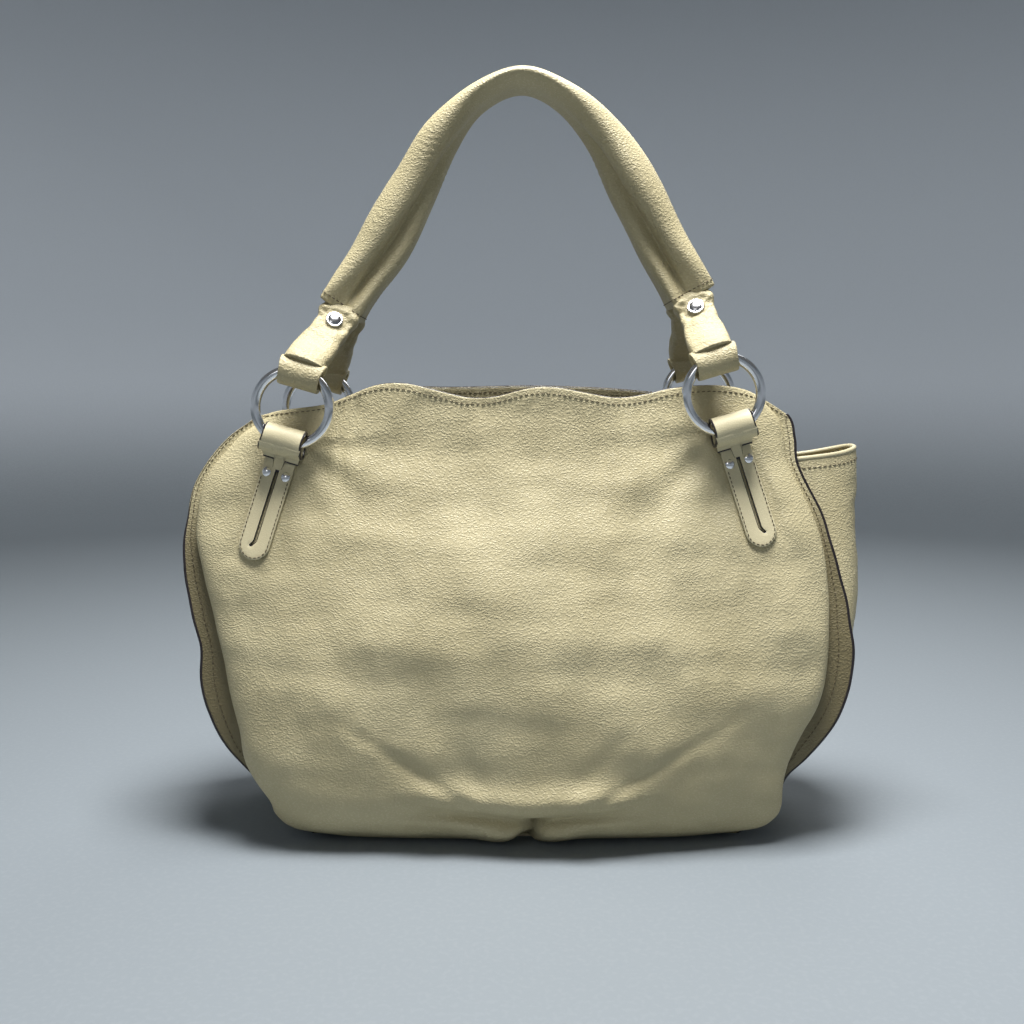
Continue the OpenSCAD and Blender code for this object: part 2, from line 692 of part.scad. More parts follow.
// Section of the handle: a rounded strap with a groove on its inner side.
function handle_loop(mid, dir, thick, depth, cut) =
    let(out = [dir.y, -dir.x] / norm(dir))
    [for (i = [0 : HANDLE_SIDES - 1])
        let(w = 360 * i / HANDLE_SIDES,
            off = (w - 180) / groove_w,
            k = 1 - groove * exp(-off * off) * (1 - cut / thick),
            n = (thick - cut) * k * cos(w),
            b = -(depth - cut) * spow(sin(w), 0.85))
        [mid.x - n * out.x, b, mid.y - n * out.y]];
function arch_loop(f, cut) =
    let(a = path_point(ARCH, max(f - 0.01, 0)), b = path_point(ARCH, min(f + 0.01, 1)))
    handle_loop(path_point(ARCH, f), b - a, curve(ARCH_THICK, f), curve(ARCH_DEPTH, f), cut);

module handle_cover() {
    color("#c2b48a")
        sleeve([for (k = [0 : HANDLE_RINGS]) arch_loop(k / HANDLE_RINGS, 0)],
            [for (k = [0 : HANDLE_RINGS]) arch_loop(k / HANDLE_RINGS, leather_t)]);
}

module handle_padding() {
    color("#e8e2d0") loft([for (k = [0 : HANDLE_RINGS])
        arch_loop(lerp(0.01, 0.99, k / HANDLE_RINGS), leather_t + gap)]);
}

function foot_x(side) = side > 0 ? 113.5 * kx : -112.5 * kx;
function foot_z(side) = (side > 0 ? strap_right_h : strap_left_h) + rise;
CREASE_RINGS = 6;
crease_foot_thick = 15;
crease_foot_depth = 19;
crease_foot_gap = 2.5;
crease_top_gap = 1.1;

module handle_crease(side) {
    top = side > 0 ? ARCH[len(ARCH) - 1] : ARCH[0];
    foot = [foot_x(side), foot_z(side)];
    dir = top - foot;
    length = norm(dir);
    color("#c2b48a")
        loft([for (k = [0 : CREASE_RINGS])
            let(t = side > 0 ? 1 - k / CREASE_RINGS : k / CREASE_RINGS,
                f = lerp(crease_foot_gap, length - crease_top_gap, t) / length)
            handle_loop(foot + f * dir, dir * side * -1, lerp(crease_foot_thick, 16, f),
                lerp(crease_foot_depth, 14, f), 0)]);
}

module handle_crease_left() {
    handle_crease(-1);
}

module handle_crease_right() {
    handle_crease(1);
}

// ---- Straps between the rings and the handle ----
STRAP_SIDES = 16;
STRAP_RINGS = 8;
strap_y = 13;
strap_t = 11;
strap_root_t = 12;
strap_pinch = 22;
strap_top_w = 29;
// Middle of a strap: f is 0 at its ring's loop and 1 at its upper end.
function strap_mid(side, f) =
    let(loop = [ring_x(side) - to_tab(side).x, -ring_y, ring_z(side) - to_tab(side).z],
        a = loop + (roll_r - 1) * [-outward(side) * sin(tab_lean), 0, cos(tab_lean)],
        d = [foot_x(side), -strap_y, foot_z(side)],
        b = a + 12 * [-outward(side) * sin(tab_lean), 0.5, 0.8],
        c = d - 16 * [-outward(side) * 0.35, 0.2, 0.95],
        g = 1 - f)
    g * g * g * a + 3 * g * g * f * b + 3 * g * f * f * c + f * f * f * d;
function strap_width(f) = f < 0.7 ? lerp(roll_w, strap_pinch, pow(f / 0.7, 2)) : lerp(strap_pinch, strap_top_w, (f - 0.7) / 0.3);
// Unit vectors across a strap and out of its outer face.
strap_lean = 28;
function strap_out(side, f) =
    let(along = strap_mid(side, min(f + 0.02, 1)) - strap_mid(side, max(f - 0.02, 0)),
        lean = lerp(tab_lean, strap_lean, f),
        n = cross([cos(lean), 0, outward(side) * sin(lean)], along))
    n / norm(n);
function strap_across(side, f) =
    let(along = strap_mid(side, min(f + 0.02, 1)) - strap_mid(side, max(f - 0.02, 0)),
        a = cross(along, strap_out(side, f)))
    a / norm(a);
function strap_loop(side, f) =
    let(m = strap_mid(side, f),
        across = strap_across(side, f),
        out = strap_out(side, f),
        t = lerp(strap_root_t, strap_t, f) / 2)
    [for (i = [0 : STRAP_SIDES - 1]) let(w = 360 * i / STRAP_SIDES)
        m + strap_width(f) / 2 * spow(cos(w), 0.6) * across - t * spow(sin(w), 0.6) * out];

strap_rivet_f = 0.8;
strap_pin_d = 3;
// Frame of a strap rivet: +Z out of the strap's outer face, origin in the strap's middle.
module at_strap_rivet(side) {
    m = strap_mid(side, strap_rivet_f);
    a = strap_across(side, strap_rivet_f);
    n = strap_out(side, strap_rivet_f);
    b = cross(n, a);
    multmatrix([[a.x, b.x, n.x, m.x], [a.y, b.y, n.y, m.y], [a.z, b.z, n.z, m.z]]) children();
}

rivet_seat = strap_t / 2 + 2.5 * gap;
module strap(side) {
    color("#c2b48a")
        difference() {
            union() {
                loft([for (k = [0 : STRAP_RINGS]) strap_loop(side, k / STRAP_RINGS)]);
                at_roll(side, true) difference() {
                    roll_shape(roll_r, roll_w);
                    roll_shape(cavity_r, roll_w + 2);
                }
            }
            at_strap_rivet(side) cylinder(d = strap_pin_d + 2 * gap, h = 4 * strap_t, center = true, $fn = 32);
        }
}

cap_t = 1.6;
washer_t = 1;
module strap_rivet(side) {
    color("silver") at_strap_rivet(side) {
        translate([0, 0, rivet_seat + gap]) {
            cylinder(d = rivet_d, h = cap_t * 0.75, $fn = 64);
            translate([0, 0, cap_t * 0.75]) cylinder(d1 = rivet_d - 1.6, d2 = rivet_d - 3, h = cap_t * 0.25, $fn = 64);
        }
        translate([0, 0, -rivet_seat - gap]) cylinder(d = strap_pin_d, h = 2 * (rivet_seat + gap), $fn = 32);
        translate([0, 0, -rivet_seat - gap - washer_t]) cylinder(d = rivet_d - 2, h = washer_t, $fn = 64);
    }
}

module strap_front_left() {
    strap(-1);
}

module strap_front_right() {
    strap(1);
}

module strap_back_left() {
    mirror([0, 1, 0]) strap(-1);
}

module strap_back_right() {
    mirror([0, 1, 0]) strap(1);
}

module strap_rivet_front_left() {
    strap_rivet(-1);
}

module strap_rivet_front_right() {
    strap_rivet(1);
}

module strap_rivet_back_left() {
    mirror([0, 1, 0]) strap_rivet(-1);
}

module strap_rivet_back_right() {
    mirror([0, 1, 0]) strap_rivet(1);
}

front_panel();
back_panel();
base_panel();
gusset_left();
gusset_right();
side_pocket_left();
side_pocket_right();
top_facing_front();
top_facing_back();
lining();
base_board();
snap_stud();
snap_socket();
zip_pouch();
zip_welt();
zip_tape();
zip_teeth();
zip_slider();
zip_pull();
phone_pocket();
ring_tab_front_left();
ring_tab_front_right();
ring_tab_back_left();
ring_tab_back_right();
tab_rivets_front_left();
tab_rivets_front_right();
tab_rivets_back_left();
tab_rivets_back_right();
ring_front_left();
ring_front_right();
ring_back_left();
ring_back_right();
strap_front_left();
strap_front_right();
strap_back_left();
strap_back_right();
strap_rivet_front_left();
strap_rivet_front_right();
strap_rivet_back_left();
strap_rivet_back_right();
handle_cover();
handle_padding();
handle_crease_left();
handle_crease_right();
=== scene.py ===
# %% [markdown]
# # A slouchy leather hobo bag
# The bag arrives as a packed engineering model: every piece at its real size, with its joints. This
# script loads that model as a fixed frame and dresses it. Soft pieces are rebuilt as curved numpy
# surfaces, and hard pieces, such as the rings, keep their own meshes and get a better finish.

# %% Load the frame
import math

import bpy
import numpy as np
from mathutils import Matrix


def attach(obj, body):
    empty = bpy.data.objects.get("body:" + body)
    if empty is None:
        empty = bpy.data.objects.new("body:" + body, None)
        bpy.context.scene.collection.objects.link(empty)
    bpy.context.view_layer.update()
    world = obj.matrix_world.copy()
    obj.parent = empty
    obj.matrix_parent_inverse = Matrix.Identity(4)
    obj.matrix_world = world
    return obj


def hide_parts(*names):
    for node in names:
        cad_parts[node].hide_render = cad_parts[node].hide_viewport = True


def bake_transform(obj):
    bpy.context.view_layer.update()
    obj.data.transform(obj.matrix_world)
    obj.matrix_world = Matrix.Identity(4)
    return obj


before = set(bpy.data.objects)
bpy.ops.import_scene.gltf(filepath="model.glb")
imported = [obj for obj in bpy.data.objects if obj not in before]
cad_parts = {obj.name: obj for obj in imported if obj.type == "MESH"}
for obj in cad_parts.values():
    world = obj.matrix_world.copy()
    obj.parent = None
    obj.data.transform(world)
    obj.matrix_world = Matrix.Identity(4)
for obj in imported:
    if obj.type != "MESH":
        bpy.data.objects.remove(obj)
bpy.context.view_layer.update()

# %% [markdown]
# ## Units and smooth curves
# Leather work is thought of in millimetres, and Blender works in metres, so shapes are computed in
# millimetres and scaled once, when a mesh is made. An outline could be a Bezier object, but a table of
# a few points with a smooth curve through them can be evaluated for whole arrays at once.

# %% Curves through a few points
MM = 0.001


def curve(points, x):
    """Value at x of the smooth curve through points [(x, value), ...].

    Between two points it is a cubic whose slope at a point is the rise over run of its neighbours.
    """
    t = np.asarray(points, float)
    x = np.clip(x, t[0, 0], t[-1, 0])
    before, after = np.maximum(np.arange(len(t)) - 1, 0), np.minimum(np.arange(len(t)) + 1, len(t) - 1)
    slope = (t[after, 1] - t[before, 1]) / (t[after, 0] - t[before, 0])
    i = np.clip(np.searchsorted(t[:, 0], x, side="right") - 1, 0, len(t) - 2)
    h = t[i + 1, 0] - t[i, 0]
    s = (x - t[i, 0]) / h
    return ((2 * s**3 - 3 * s**2 + 1) * t[i, 1] + (s**3 - 2 * s**2 + s) * h * slope[i]
            + (3 * s**2 - 2 * s**3) * t[i + 1, 1] + (s**3 - s**2) * h * slope[i + 1])


def mix(a, b, t):
    """Straight blend from a to b."""
    return a + (b - a) * t


def smooth(a, b, x):
    """0 below a, 1 above b, and an S curve between."""
    t = np.clip((x - a) / (b - a), 0, 1)
    return t * t * (3 - 2 * t)


def signed_power(v, p):
    """|v| to the power p with v's sign, which squares off sines and cosines into superellipses."""
    return np.sign(v) * np.abs(v) ** p


def unit(v):
    """Vectors of length 1."""
    return v / np.maximum(np.linalg.norm(v, axis=-1, keepdims=True), 1e-9)


print("smooth curve through three points, at 1.5:", round(float(curve([(0, 0), (1, 2), (2, 1)], 1.5)), 3))

# %% [markdown]
# ## Soft ripples
# Leather that has been carried is never flat. A noise texture could displace the mesh, but a sum of a
# few sine waves with chosen lengths is smooth, seeded and cheap, and it can be faded out where the
# leather is stitched down.

# %% Ripples
def ripple(a, b, length_a, length_b, seed, waves=9):
    """Sum of sine waves over the plane (a, b), about -1 to 1, with the given wave lengths in mm."""
    rng = np.random.default_rng(seed)
    total = np.zeros(np.broadcast(a, b).shape)
    for _ in range(waves):
        turn = rng.uniform(0, 2 * math.pi)
        stretch = rng.uniform(0.7, 1.4)
        phase = rng.uniform(0, 2 * math.pi)
        total = total + np.sin(2 * math.pi * stretch * (
            a * math.cos(turn) / length_a + b * math.sin(turn) / length_b) + phase)
    return total / math.sqrt(waves)


sample = ripple(np.linspace(0, 200, 400), 0, 20, 20, 1)
print("ripple of 20 mm waves spans", sample.min().round(2), "to", sample.max().round(2))

# %% [markdown]
# ## From grids to meshes
# Every leather piece is a closed sheet: an outer grid, an inner grid, and a rim between them that is
# rounded a little and carries the edge paint as a second material. One function builds them all, so
# the faces always point outwards.

# %% Meshes from arrays
def signed_volume(mesh):
    """Volume of a closed mesh, negative when its faces point inwards: a sixth of the sum of a . (b x c)."""
    mesh.calc_loop_triangles()
    corner = np.empty(len(mesh.loop_triangles) * 3, np.int32)
    mesh.loop_triangles.foreach_get("vertices", corner)
    point = np.empty(len(mesh.vertices) * 3, np.float32)
    mesh.vertices.foreach_get("co", point)
    a, b, c = point.reshape(-1, 3)[corner].reshape(-1, 3, 3).transpose(1, 0, 2).astype(float)
    return (a * np.cross(b, c)).sum() / 6


def make_object(name, points, faces, materials, face_material=None, closed=True):
    """Object with its mesh in metres from points in mm; a closed mesh is turned to face outwards."""
    mesh = bpy.data.meshes.new(name)
    mesh.from_pydata((np.asarray(points) * MM).tolist(), [], [list(f) for f in faces])
    for m in materials:
        mesh.materials.append(m)
    if face_material is not None:
        mesh.polygons.foreach_set("material_index", np.asarray(face_material, np.int32))
    mesh.polygons.foreach_set("use_smooth", np.ones(len(mesh.polygons), bool))
    mesh.update()
    if closed and signed_volume(mesh) < 0:
        mesh.flip_normals()
    piece = bpy.data.objects.new(name, mesh)
    bpy.context.scene.collection.objects.link(piece)
    return piece


print("mesh maker ready")

# %% [markdown]
# ## Grids
# A grid of points is the plainest way to hold a bent piece of leather. Its squares and its normals
# could be asked of Blender later, but as arrays they are there before the mesh is.

# %% Grids and their normals
def grid_quads(rows, cols, wrap=False):
    """Corner numbers of a grid's squares, seen with its columns to the right and its rows upwards."""
    j, i = np.meshgrid(np.arange(rows - 1), np.arange(cols if wrap else cols - 1), indexing="ij")
    k = (i + 1) % cols
    return np.stack([j * cols + i, j * cols + k, (j + 1) * cols + k, (j + 1) * cols + i], -1).reshape(-1, 4)


def normals(grid):
    """Unit normals of a grid, towards the side that sees its columns run right and its rows up."""
    across = np.gradient(grid, axis=1)
    up = np.gradient(grid, axis=0)
    return unit(np.cross(across, up))


print("a grid of 3 by 4 points has", len(grid_quads(3, 4)), "squares")

# %% [markdown]
# ## Sheets and tubes
# A leather piece has a face, a back and a cut edge. The Solidify modifier could thicken one surface,
# but two grids and a rim between them also give the edge its bulge and its own paint.

# %% Sheets and tubes
def sheet(name, outer, inner, materials, pushed=0.35, face_index=None):
    """Closed sheet between two grids; its rim bulges by pushed times its thickness.

    materials are the face, the rim and any more that face_index, one number per outer square, picks.
    """
    rows, cols = outer.shape[:2]
    n = rows * cols
    quads = grid_quads(rows, cols)
    loop = np.concatenate([np.arange(cols), np.arange(1, rows) * cols + cols - 1,
                           (rows - 1) * cols + np.arange(cols - 2, -1, -1),
                           np.arange(rows - 2, 0, -1) * cols])
    flat_out, flat_in = outer.reshape(-1, 3), inner.reshape(-1, 3)
    into = np.zeros_like(outer)
    into[0], into[-1] = outer[1] - outer[0], outer[-2] - outer[-1]
    into[:, 0] += outer[:, 1] - outer[:, 0]
    into[:, -1] += outer[:, -2] - outer[:, -1]
    thick = np.linalg.norm(flat_out - flat_in, axis=1)[loop, None]
    middle = (flat_out[loop] + flat_in[loop]) / 2 - unit(into.reshape(-1, 3)[loop]) * thick * pushed
    m = len(loop)
    a, b = loop, np.roll(loop, -1)
    c, d = 2 * n + np.arange(m), 2 * n + np.roll(np.arange(m), -1)
    rim = np.concatenate([np.stack([b, a, c, d], 1), np.stack([d, c, a + n, b + n], 1)])
    face = np.zeros(len(quads), int) if face_index is None else face_index
    return make_object(name, np.concatenate([flat_out, flat_in, middle]),
                       np.concatenate([quads, quads[:, ::-1] + n, rim]), materials,
                       np.concatenate([face, np.zeros(len(quads), int), np.ones(len(rim), int)]))


def tube(name, rings, materials, closed=False, face_index=None):
    """Skin through a stack of closed rings, each (m, 3), with flat ends unless it closes on itself."""
    k, m = rings.shape[:2]
    quads = grid_quads(k + 1 if closed else k, m, wrap=True) % (k * m)
    points = rings.reshape(-1, 3)
    faces = [list(q) for q in quads]
    face = np.zeros(len(faces), int) if face_index is None else face_index
    if not closed:
        faces += [list(range(m))[::-1], list(range((k - 1) * m, k * m))]
        face = np.concatenate([face, [0, 0]])
    return make_object(name, points, faces, materials, face)


print("sheets and tubes ready")

# %% [markdown]
# ## Finishes
# Two effects are shared: a pebbled grain and a slow change of tone. Each is a node
# group with named inputs, built once. The grain could be modelled, but cells of 2 mm over half a metre
# would take millions of faces, so it is a Voronoi pattern that feeds a Bump node.

# %% Node helpers
def srgb(r, g, b):
    """Linear colour from 0-255 values as seen on a screen."""
    def lin(v):
        v /= 255
        return v / 12.92 if v <= 0.04045 else ((v + 0.055) / 1.055) ** 2.4
    return (lin(r), lin(g), lin(b), 1.0)


def new_group(name, inputs, outputs):
    """Empty shader group; inputs and outputs are (name, kind, default) with kind Float, Vector or Color."""
    group = bpy.data.node_groups.new(name, "ShaderNodeTree")
    for side, sockets in (("INPUT", inputs), ("OUTPUT", outputs)):
        for label, kind, default in sockets:
            s = group.interface.new_socket(label, in_out=side, socket_type="NodeSocket" + kind)
            if default is not None:
                s.default_value = default
    return group, group.nodes.new("NodeGroupInput"), group.nodes.new("NodeGroupOutput")


def add(tree, kind, settings=None, **values):
    """Node with its settings and its input values, which are numbers or another node's output."""
    node = tree.nodes.new(kind)
    for key, value in (settings or {}).items():
        setattr(node, key, value)
    for key, value in values.items():
        name = key.replace("_", " ")
        socket = node.inputs[int(key[1:])] if key[0] == "i" and key[1:].isdigit() else node.inputs[name]
        if isinstance(value, bpy.types.NodeSocket):
            tree.links.new(value, socket)
        else:
            socket.default_value = value
    return node


def calc(tree, operation, a, b=0.0, c=0.0):
    """Output of a Math node."""
    return add(tree, "ShaderNodeMath", {"operation": operation}, i0=a, i1=b, i2=c).outputs[0]


def remap(tree, value, low, high, to_low=0.0, to_high=1.0):
    """Output of a smooth Map Range node."""
    return add(tree, "ShaderNodeMapRange", {"interpolation_type": "SMOOTHSTEP"}, Value=value, From_Min=low,
               From_Max=high, To_Min=to_low, To_Max=to_high).outputs["Result"]


def mix_colour(tree, factor, a, b):
    """Output of a Mix node on colours."""
    node = tree.nodes.new("ShaderNodeMix")
    node.data_type = "RGBA"
    for socket, value in ((node.inputs[0], factor), (node.inputs[6], a), (node.inputs[7], b)):
        if isinstance(value, bpy.types.NodeSocket):
            tree.links.new(value, socket)
        else:
            socket.default_value = value
    return node.outputs[2]


print("sRGB 128 as light:", round(srgb(128, 128, 128)[0], 3))

# %% [markdown]
# ## Grain and tone
# Milled leather shrinks into soft pebbles with fine wrinkles between them, and the dye takes unevenly.
# The pebbles are Voronoi cells, bent by noise so that no row is straight, and the wrinkles are a ridged
# noise. A slow noise shifts the tone. Both are groups, because several leathers use them.

# %% The grain of milled leather
def build_grain():
    """Height and crease mask of pebbles about 1 m / Scale across, longer than high."""
    tree, start, end = new_group("leather_grain", [("Vector", "Vector", None), ("Scale", "Float", 560.0)],
                                 [("Height", "Float", None), ("Crease", "Float", None)])
    sway = add(tree, "ShaderNodeTexNoise", Vector=start.outputs["Vector"], Scale=7.0, Detail=1.0)
    swayed = add(tree, "ShaderNodeVectorMath", {"operation": "MULTIPLY_ADD"}, i0=sway.outputs["Color"],
                 i1=(0.012, 0.012, 0.045), i2=start.outputs["Vector"])
    fine = add(tree, "ShaderNodeTexNoise", Vector=swayed.outputs[0], Scale=210.0, Detail=2.0)
    bent = add(tree, "ShaderNodeVectorMath", {"operation": "MULTIPLY_ADD"}, i0=fine.outputs["Color"],
               i1=(0.0035, 0.0035, 0.0035), i2=swayed.outputs[0])
    long = add(tree, "ShaderNodeMapping", Vector=bent.outputs[0], Scale=(0.62, 0.8, 1.0),
               Rotation=(0.0, 0.2, 0.0))
    cell = add(tree, "ShaderNodeTexVoronoi", {"feature": "F1", "distance": "EUCLIDEAN"},
               Vector=long.outputs[0],
               Scale=start.outputs["Scale"])
    pebble = remap(tree, cell.outputs["Distance"], 0.75, 0.05)
    wrinkle_scale = calc(tree, "MULTIPLY", start.outputs["Scale"], 0.36)
    ridge = add(tree, "ShaderNodeTexNoise", {"noise_type": "RIDGED_MULTIFRACTAL", "normalize": True},
                Vector=long.outputs[0], Scale=wrinkle_scale, Detail=2.5, Roughness=0.6, Lacunarity=2.1)
    wrinkle = remap(tree, ridge.outputs["Fac"], 0.25, 0.85)
    pores = add(tree, "ShaderNodeTexNoise", Vector=start.outputs["Vector"], Scale=2600.0, Detail=2.0)
    height = calc(tree, "ADD", calc(tree, "MULTIPLY", pebble, 0.62), calc(tree, "MULTIPLY", wrinkle, 0.4))
    height = calc(tree, "ADD", height, calc(tree, "MULTIPLY", pores.outputs["Fac"], 0.10))
    tree.links.new(height, end.inputs["Height"])
    tree.links.new(remap(tree, height, 0.75, 0.25), end.inputs["Crease"])
    return tree


def build_tone():
    """Slow variation of tone, 0 to 1, as hides and dye have."""
    tree, start, end = new_group("slow_tone", [("Vector", "Vector", None), ("Scale", "Float", 12.0)],
                                 [("Tone", "Float", None)])
    slow = add(tree, "ShaderNodeTexNoise", Vector=start.outputs["Vector"],
               Scale=start.outputs["Scale"], Detail=4.0, Roughness=0.55)
    tree.links.new(remap(tree, slow.outputs["Fac"], 0.3, 0.7), end.inputs["Tone"])
    return tree


GRAIN = build_grain()
TONE = build_tone()
print("shared groups:", GRAIN.name, "and", TONE.name)


# %% [markdown]
# ## Leather
# Every leather on the bag is one recipe with its own colours, pebble size and depth. The panels also
# have flanges darkened as painted shade, where the belly overhangs them. That could be painted on a second
# material, but a value stored on the points fades smoothly and costs one node.

# %% Materials
def start_material(name):
    """Empty material, its node tree, its shader and the vector its patterns read."""
    material = bpy.data.materials.new(name)
    material.use_nodes = True
    tree = material.node_tree
    shader = tree.nodes["Principled BSDF"]
    vector = add(tree, "ShaderNodeTexCoord").outputs["Object"]
    return material, tree, shader, vector


def place_group(tree, group, **values):
    """Group node with its inputs set."""
    node = tree.nodes.new("ShaderNodeGroup")
    node.node_tree = group
    for key, value in values.items():
        if isinstance(value, bpy.types.NodeSocket):
            tree.links.new(value, node.inputs[key])
        else:
            node.inputs[key].default_value = value
    return node


def leather(name, colour, dark, scale, depth, rough, flange_shade_colour=None):
    """Leather: slow tone, pebbles that catch light, darker creases, and painted shade on the flanges."""
    material, tree, shader, vector = start_material(name)
    grain = place_group(tree, GRAIN, Vector=vector, Scale=scale)
    tone = place_group(tree, TONE, Vector=vector, Scale=14.0)
    base = mix_colour(tree, calc(tree, "MULTIPLY", tone.outputs["Tone"], 0.35), colour, dark)
    shade = calc(tree, "MULTIPLY", grain.outputs["Crease"], 0.30)
    skin = mix_colour(tree, shade, base, dark)
    # Painted shade: a value stored on the points darkens the flanges.
    if flange_shade_colour is not None:
        edge = add(tree, "ShaderNodeAttribute", {"attribute_name": "painted_flange_shade"})
        skin = mix_colour(tree, edge.outputs["Fac"], skin, flange_shade_colour)
    tree.links.new(skin, shader.inputs["Base Color"])
    tree.links.new(remap(tree, grain.outputs["Crease"], 0.0, 1.0, rough, rough + 0.15),
                   shader.inputs["Roughness"])
    bump = add(tree, "ShaderNodeBump", Strength=1.0, Distance=depth, Height=grain.outputs["Height"])
    tree.links.new(bump.outputs["Normal"], shader.inputs["Normal"])
    shader.inputs["Specular IOR Level"].default_value = 0.42
    return material


print("leather recipe ready")

# %% [markdown]
# ## Thread, paint, metal and cloth
# The small parts need no grain, but an even colour looks like plastic, so each gets a slight change of
# tone and a fine bump. Cloth is woven from two crossed wave patterns, which follow the threads better
# than a checker would.

# %% Plain and woven finishes
def plain(name, colour, rough, metal=0.0, bump_scale=900.0, bump_depth=0.00006, change=0.12):
    """Even material with a fine surface of its own and a slight change of tone."""
    material, tree, shader, vector = start_material(name)
    noise = add(tree, "ShaderNodeTexNoise", Vector=vector, Scale=bump_scale, Detail=3.0)
    tone = place_group(tree, TONE, Vector=vector, Scale=40.0)
    darker = tuple(c * (1 - change) for c in colour[:3]) + (1.0,)
    tree.links.new(mix_colour(tree, tone.outputs["Tone"], colour, darker), shader.inputs["Base Color"])
    tree.links.new(remap(tree, noise.outputs["Fac"], 0.2, 0.8, rough * 0.8, rough * 1.2),
                   shader.inputs["Roughness"])
    bump = add(tree, "ShaderNodeBump", Strength=1.0, Distance=bump_depth, Height=noise.outputs["Fac"])
    tree.links.new(bump.outputs["Normal"], shader.inputs["Normal"])
    shader.inputs["Metallic"].default_value = metal
    return material


def cloth(name, colour, dark, pitch):
    """Plain weave: two crossed sets of threads, pitch apart in metres."""
    material, tree, shader, vector = start_material(name)
    height = None
    for turn in ((0.0, 0.0, 0.0), (0.0, math.pi / 2, 0.0)):
        turned = add(tree, "ShaderNodeMapping", Vector=vector, Rotation=turn)
        wave = add(tree, "ShaderNodeTexWave", {"bands_direction": "X"}, Vector=turned.outputs[0],
                   Scale=0.314 / pitch, Distortion=0.6, Detail=1.0)
        thread = wave.outputs["Fac"]
        height = thread if height is None else calc(tree, "MAXIMUM", height, thread)
    tree.links.new(mix_colour(tree, height, dark, colour), shader.inputs["Base Color"])
    bump = add(tree, "ShaderNodeBump", Strength=0.8, Distance=0.0002, Height=height)
    tree.links.new(bump.outputs["Normal"], shader.inputs["Normal"])
    shader.inputs["Roughness"].default_value = 0.85
    shader.inputs["Sheen Weight"].default_value = 0.2
    return material


print("plain and woven recipes ready")

# %% [markdown]
# ## The finishes
# The belly is pebbled, tabs and base are smoother and painted paler, as painted light for the tabs lit
# from the front; cut edges are sealed with dark paint, and the metal is polished. Colours are written as
# they look on a screen and turned into light by srgb.

# %% The finishes of this bag
# The pebbled leather's last colour is painted shade, laid on its flanges.
PEBBLED = leather("pebbled_leather", srgb(202, 191, 154), srgb(156, 144, 106), 880.0, 0.00036, 0.40,
                  flange_shade_colour=srgb(118, 108, 78))
# Painted light: the smooth leather is made paler to stand in for the light on the front-lit tabs.
SMOOTH = leather("smooth_leather", srgb(218, 208, 172), srgb(184, 172, 136), 1500.0, 0.00008, 0.38)
EDGE_PAINT = plain("edge_paint", srgb(44, 38, 40), 0.32, change=0.3)
RAW_EDGE = plain("turned_edge", srgb(190, 180, 146), 0.5)
THREAD = plain("thread", srgb(92, 80, 58), 0.6, bump_scale=2500.0, bump_depth=0.0001, change=0.3)
CHROME = plain("polished_steel", (0.90, 0.90, 0.91, 1.0), 0.09, metal=1.0, bump_scale=60.0,
               bump_depth=0.00002, change=0.04)
RIVET = plain("satin_steel", (0.62, 0.62, 0.63, 1.0), 0.20, metal=1.0, bump_scale=400.0, bump_depth=0.00004)
LINING = cloth("lining_cloth", srgb(126, 112, 84), srgb(84, 72, 52), 0.0009)
ZIP_TAPE = cloth("zip_cloth", srgb(70, 60, 48), srgb(40, 34, 28), 0.0006)
BOARD = plain("pressed_board", srgb(120, 100, 76), 0.8, bump_scale=500.0, bump_depth=0.0002)
print("finishes so far:", len(bpy.data.materials))

# %% [markdown]
# ## The outline of the bag
# A hobo bag keeps a shape between a bowl and a moon. Its silhouette, the line where the belly rises
# from the flat seam, the belly's depth and the wavy top edge are short tables that follow the frame's
# own construction, so every leather piece can be worked out from the same curves.

# %% Outline tables, in mm
LEFT_SEAM = [(2, -128), (10, -143), (20, -151), (31, -155), (43, -166), (61, -181), (78, -191),
             (102, -198), (126, -199), (155, -207), (188, -211), (220, -207), (240, -197), (256, -184),
             (270, -165), (292, -150)]
RIGHT_SEAM = [(2, 142), (10, 157), (20, 167), (32, 168), (43, 173), (54, 184), (67, 195), (84, 205),
              (102, 211), (128, 213), (166, 207), (206, 196), (240, 181), (256, 179), (268, 177),
              (278, 167), (292, 153)]
LEFT_BELLY = [(2, -114), (8, -134), (19, -146), (28, -149), (42, -157), (58, -166), (77, -172),
              (98, -178), (118, -182), (142, -188), (170, -196), (200, -202), (230, -196), (256, -177),
              (270, -158), (292, -143)]
RIGHT_BELLY = [(2, 118), (8, 148), (16, 159), (24, 162), (42, 163), (52, 166), (64, 173), (75, 180),
               (87, 187), (105, 193), (130, 196), (160, 197), (190, 194), (215, 185), (240, 174),
               (256, 172), (268, 169), (278, 160), (292, 146)]
SEAM_DEPTH = [(2, 48), (60, 54), (120, 48), (170, 38), (210, 30), (250, 24), (292, 18)]
BELLY_DEPTH = [(2, 56), (12, 71), (26, 80), (60, 84), (120, 77), (170, 63), (210, 50), (250, 38),
               (292, 32)]
TOP_EDGE = [(-166, 269), (-150, 273), (-120, 277), (-104, 283), (-88, 289), (-70, 290), (-48, 285),
            (-30, 281), (-14, 281.5), (8, 287), (24, 287.5), (46, 283.5), (62, 281), (78, 282.5),
            (98, 287), (126, 289), (146, 286), (160, 279), (173, 271)]
BACK_TOP_EDGE = [(-166, 269), (-120, 279), (-88, 288), (-40, 288.5), (10, 289.5), (60, 288), (96, 285),
                 (126, 282), (160, 276), (173, 271)]
LEATHER = 1.6
GAP = 0.3
FOOT = 2.5
SQUARE = 2.6
LEFT_TOP, RIGHT_TOP = TOP_EDGE[0], TOP_EDGE[-1]


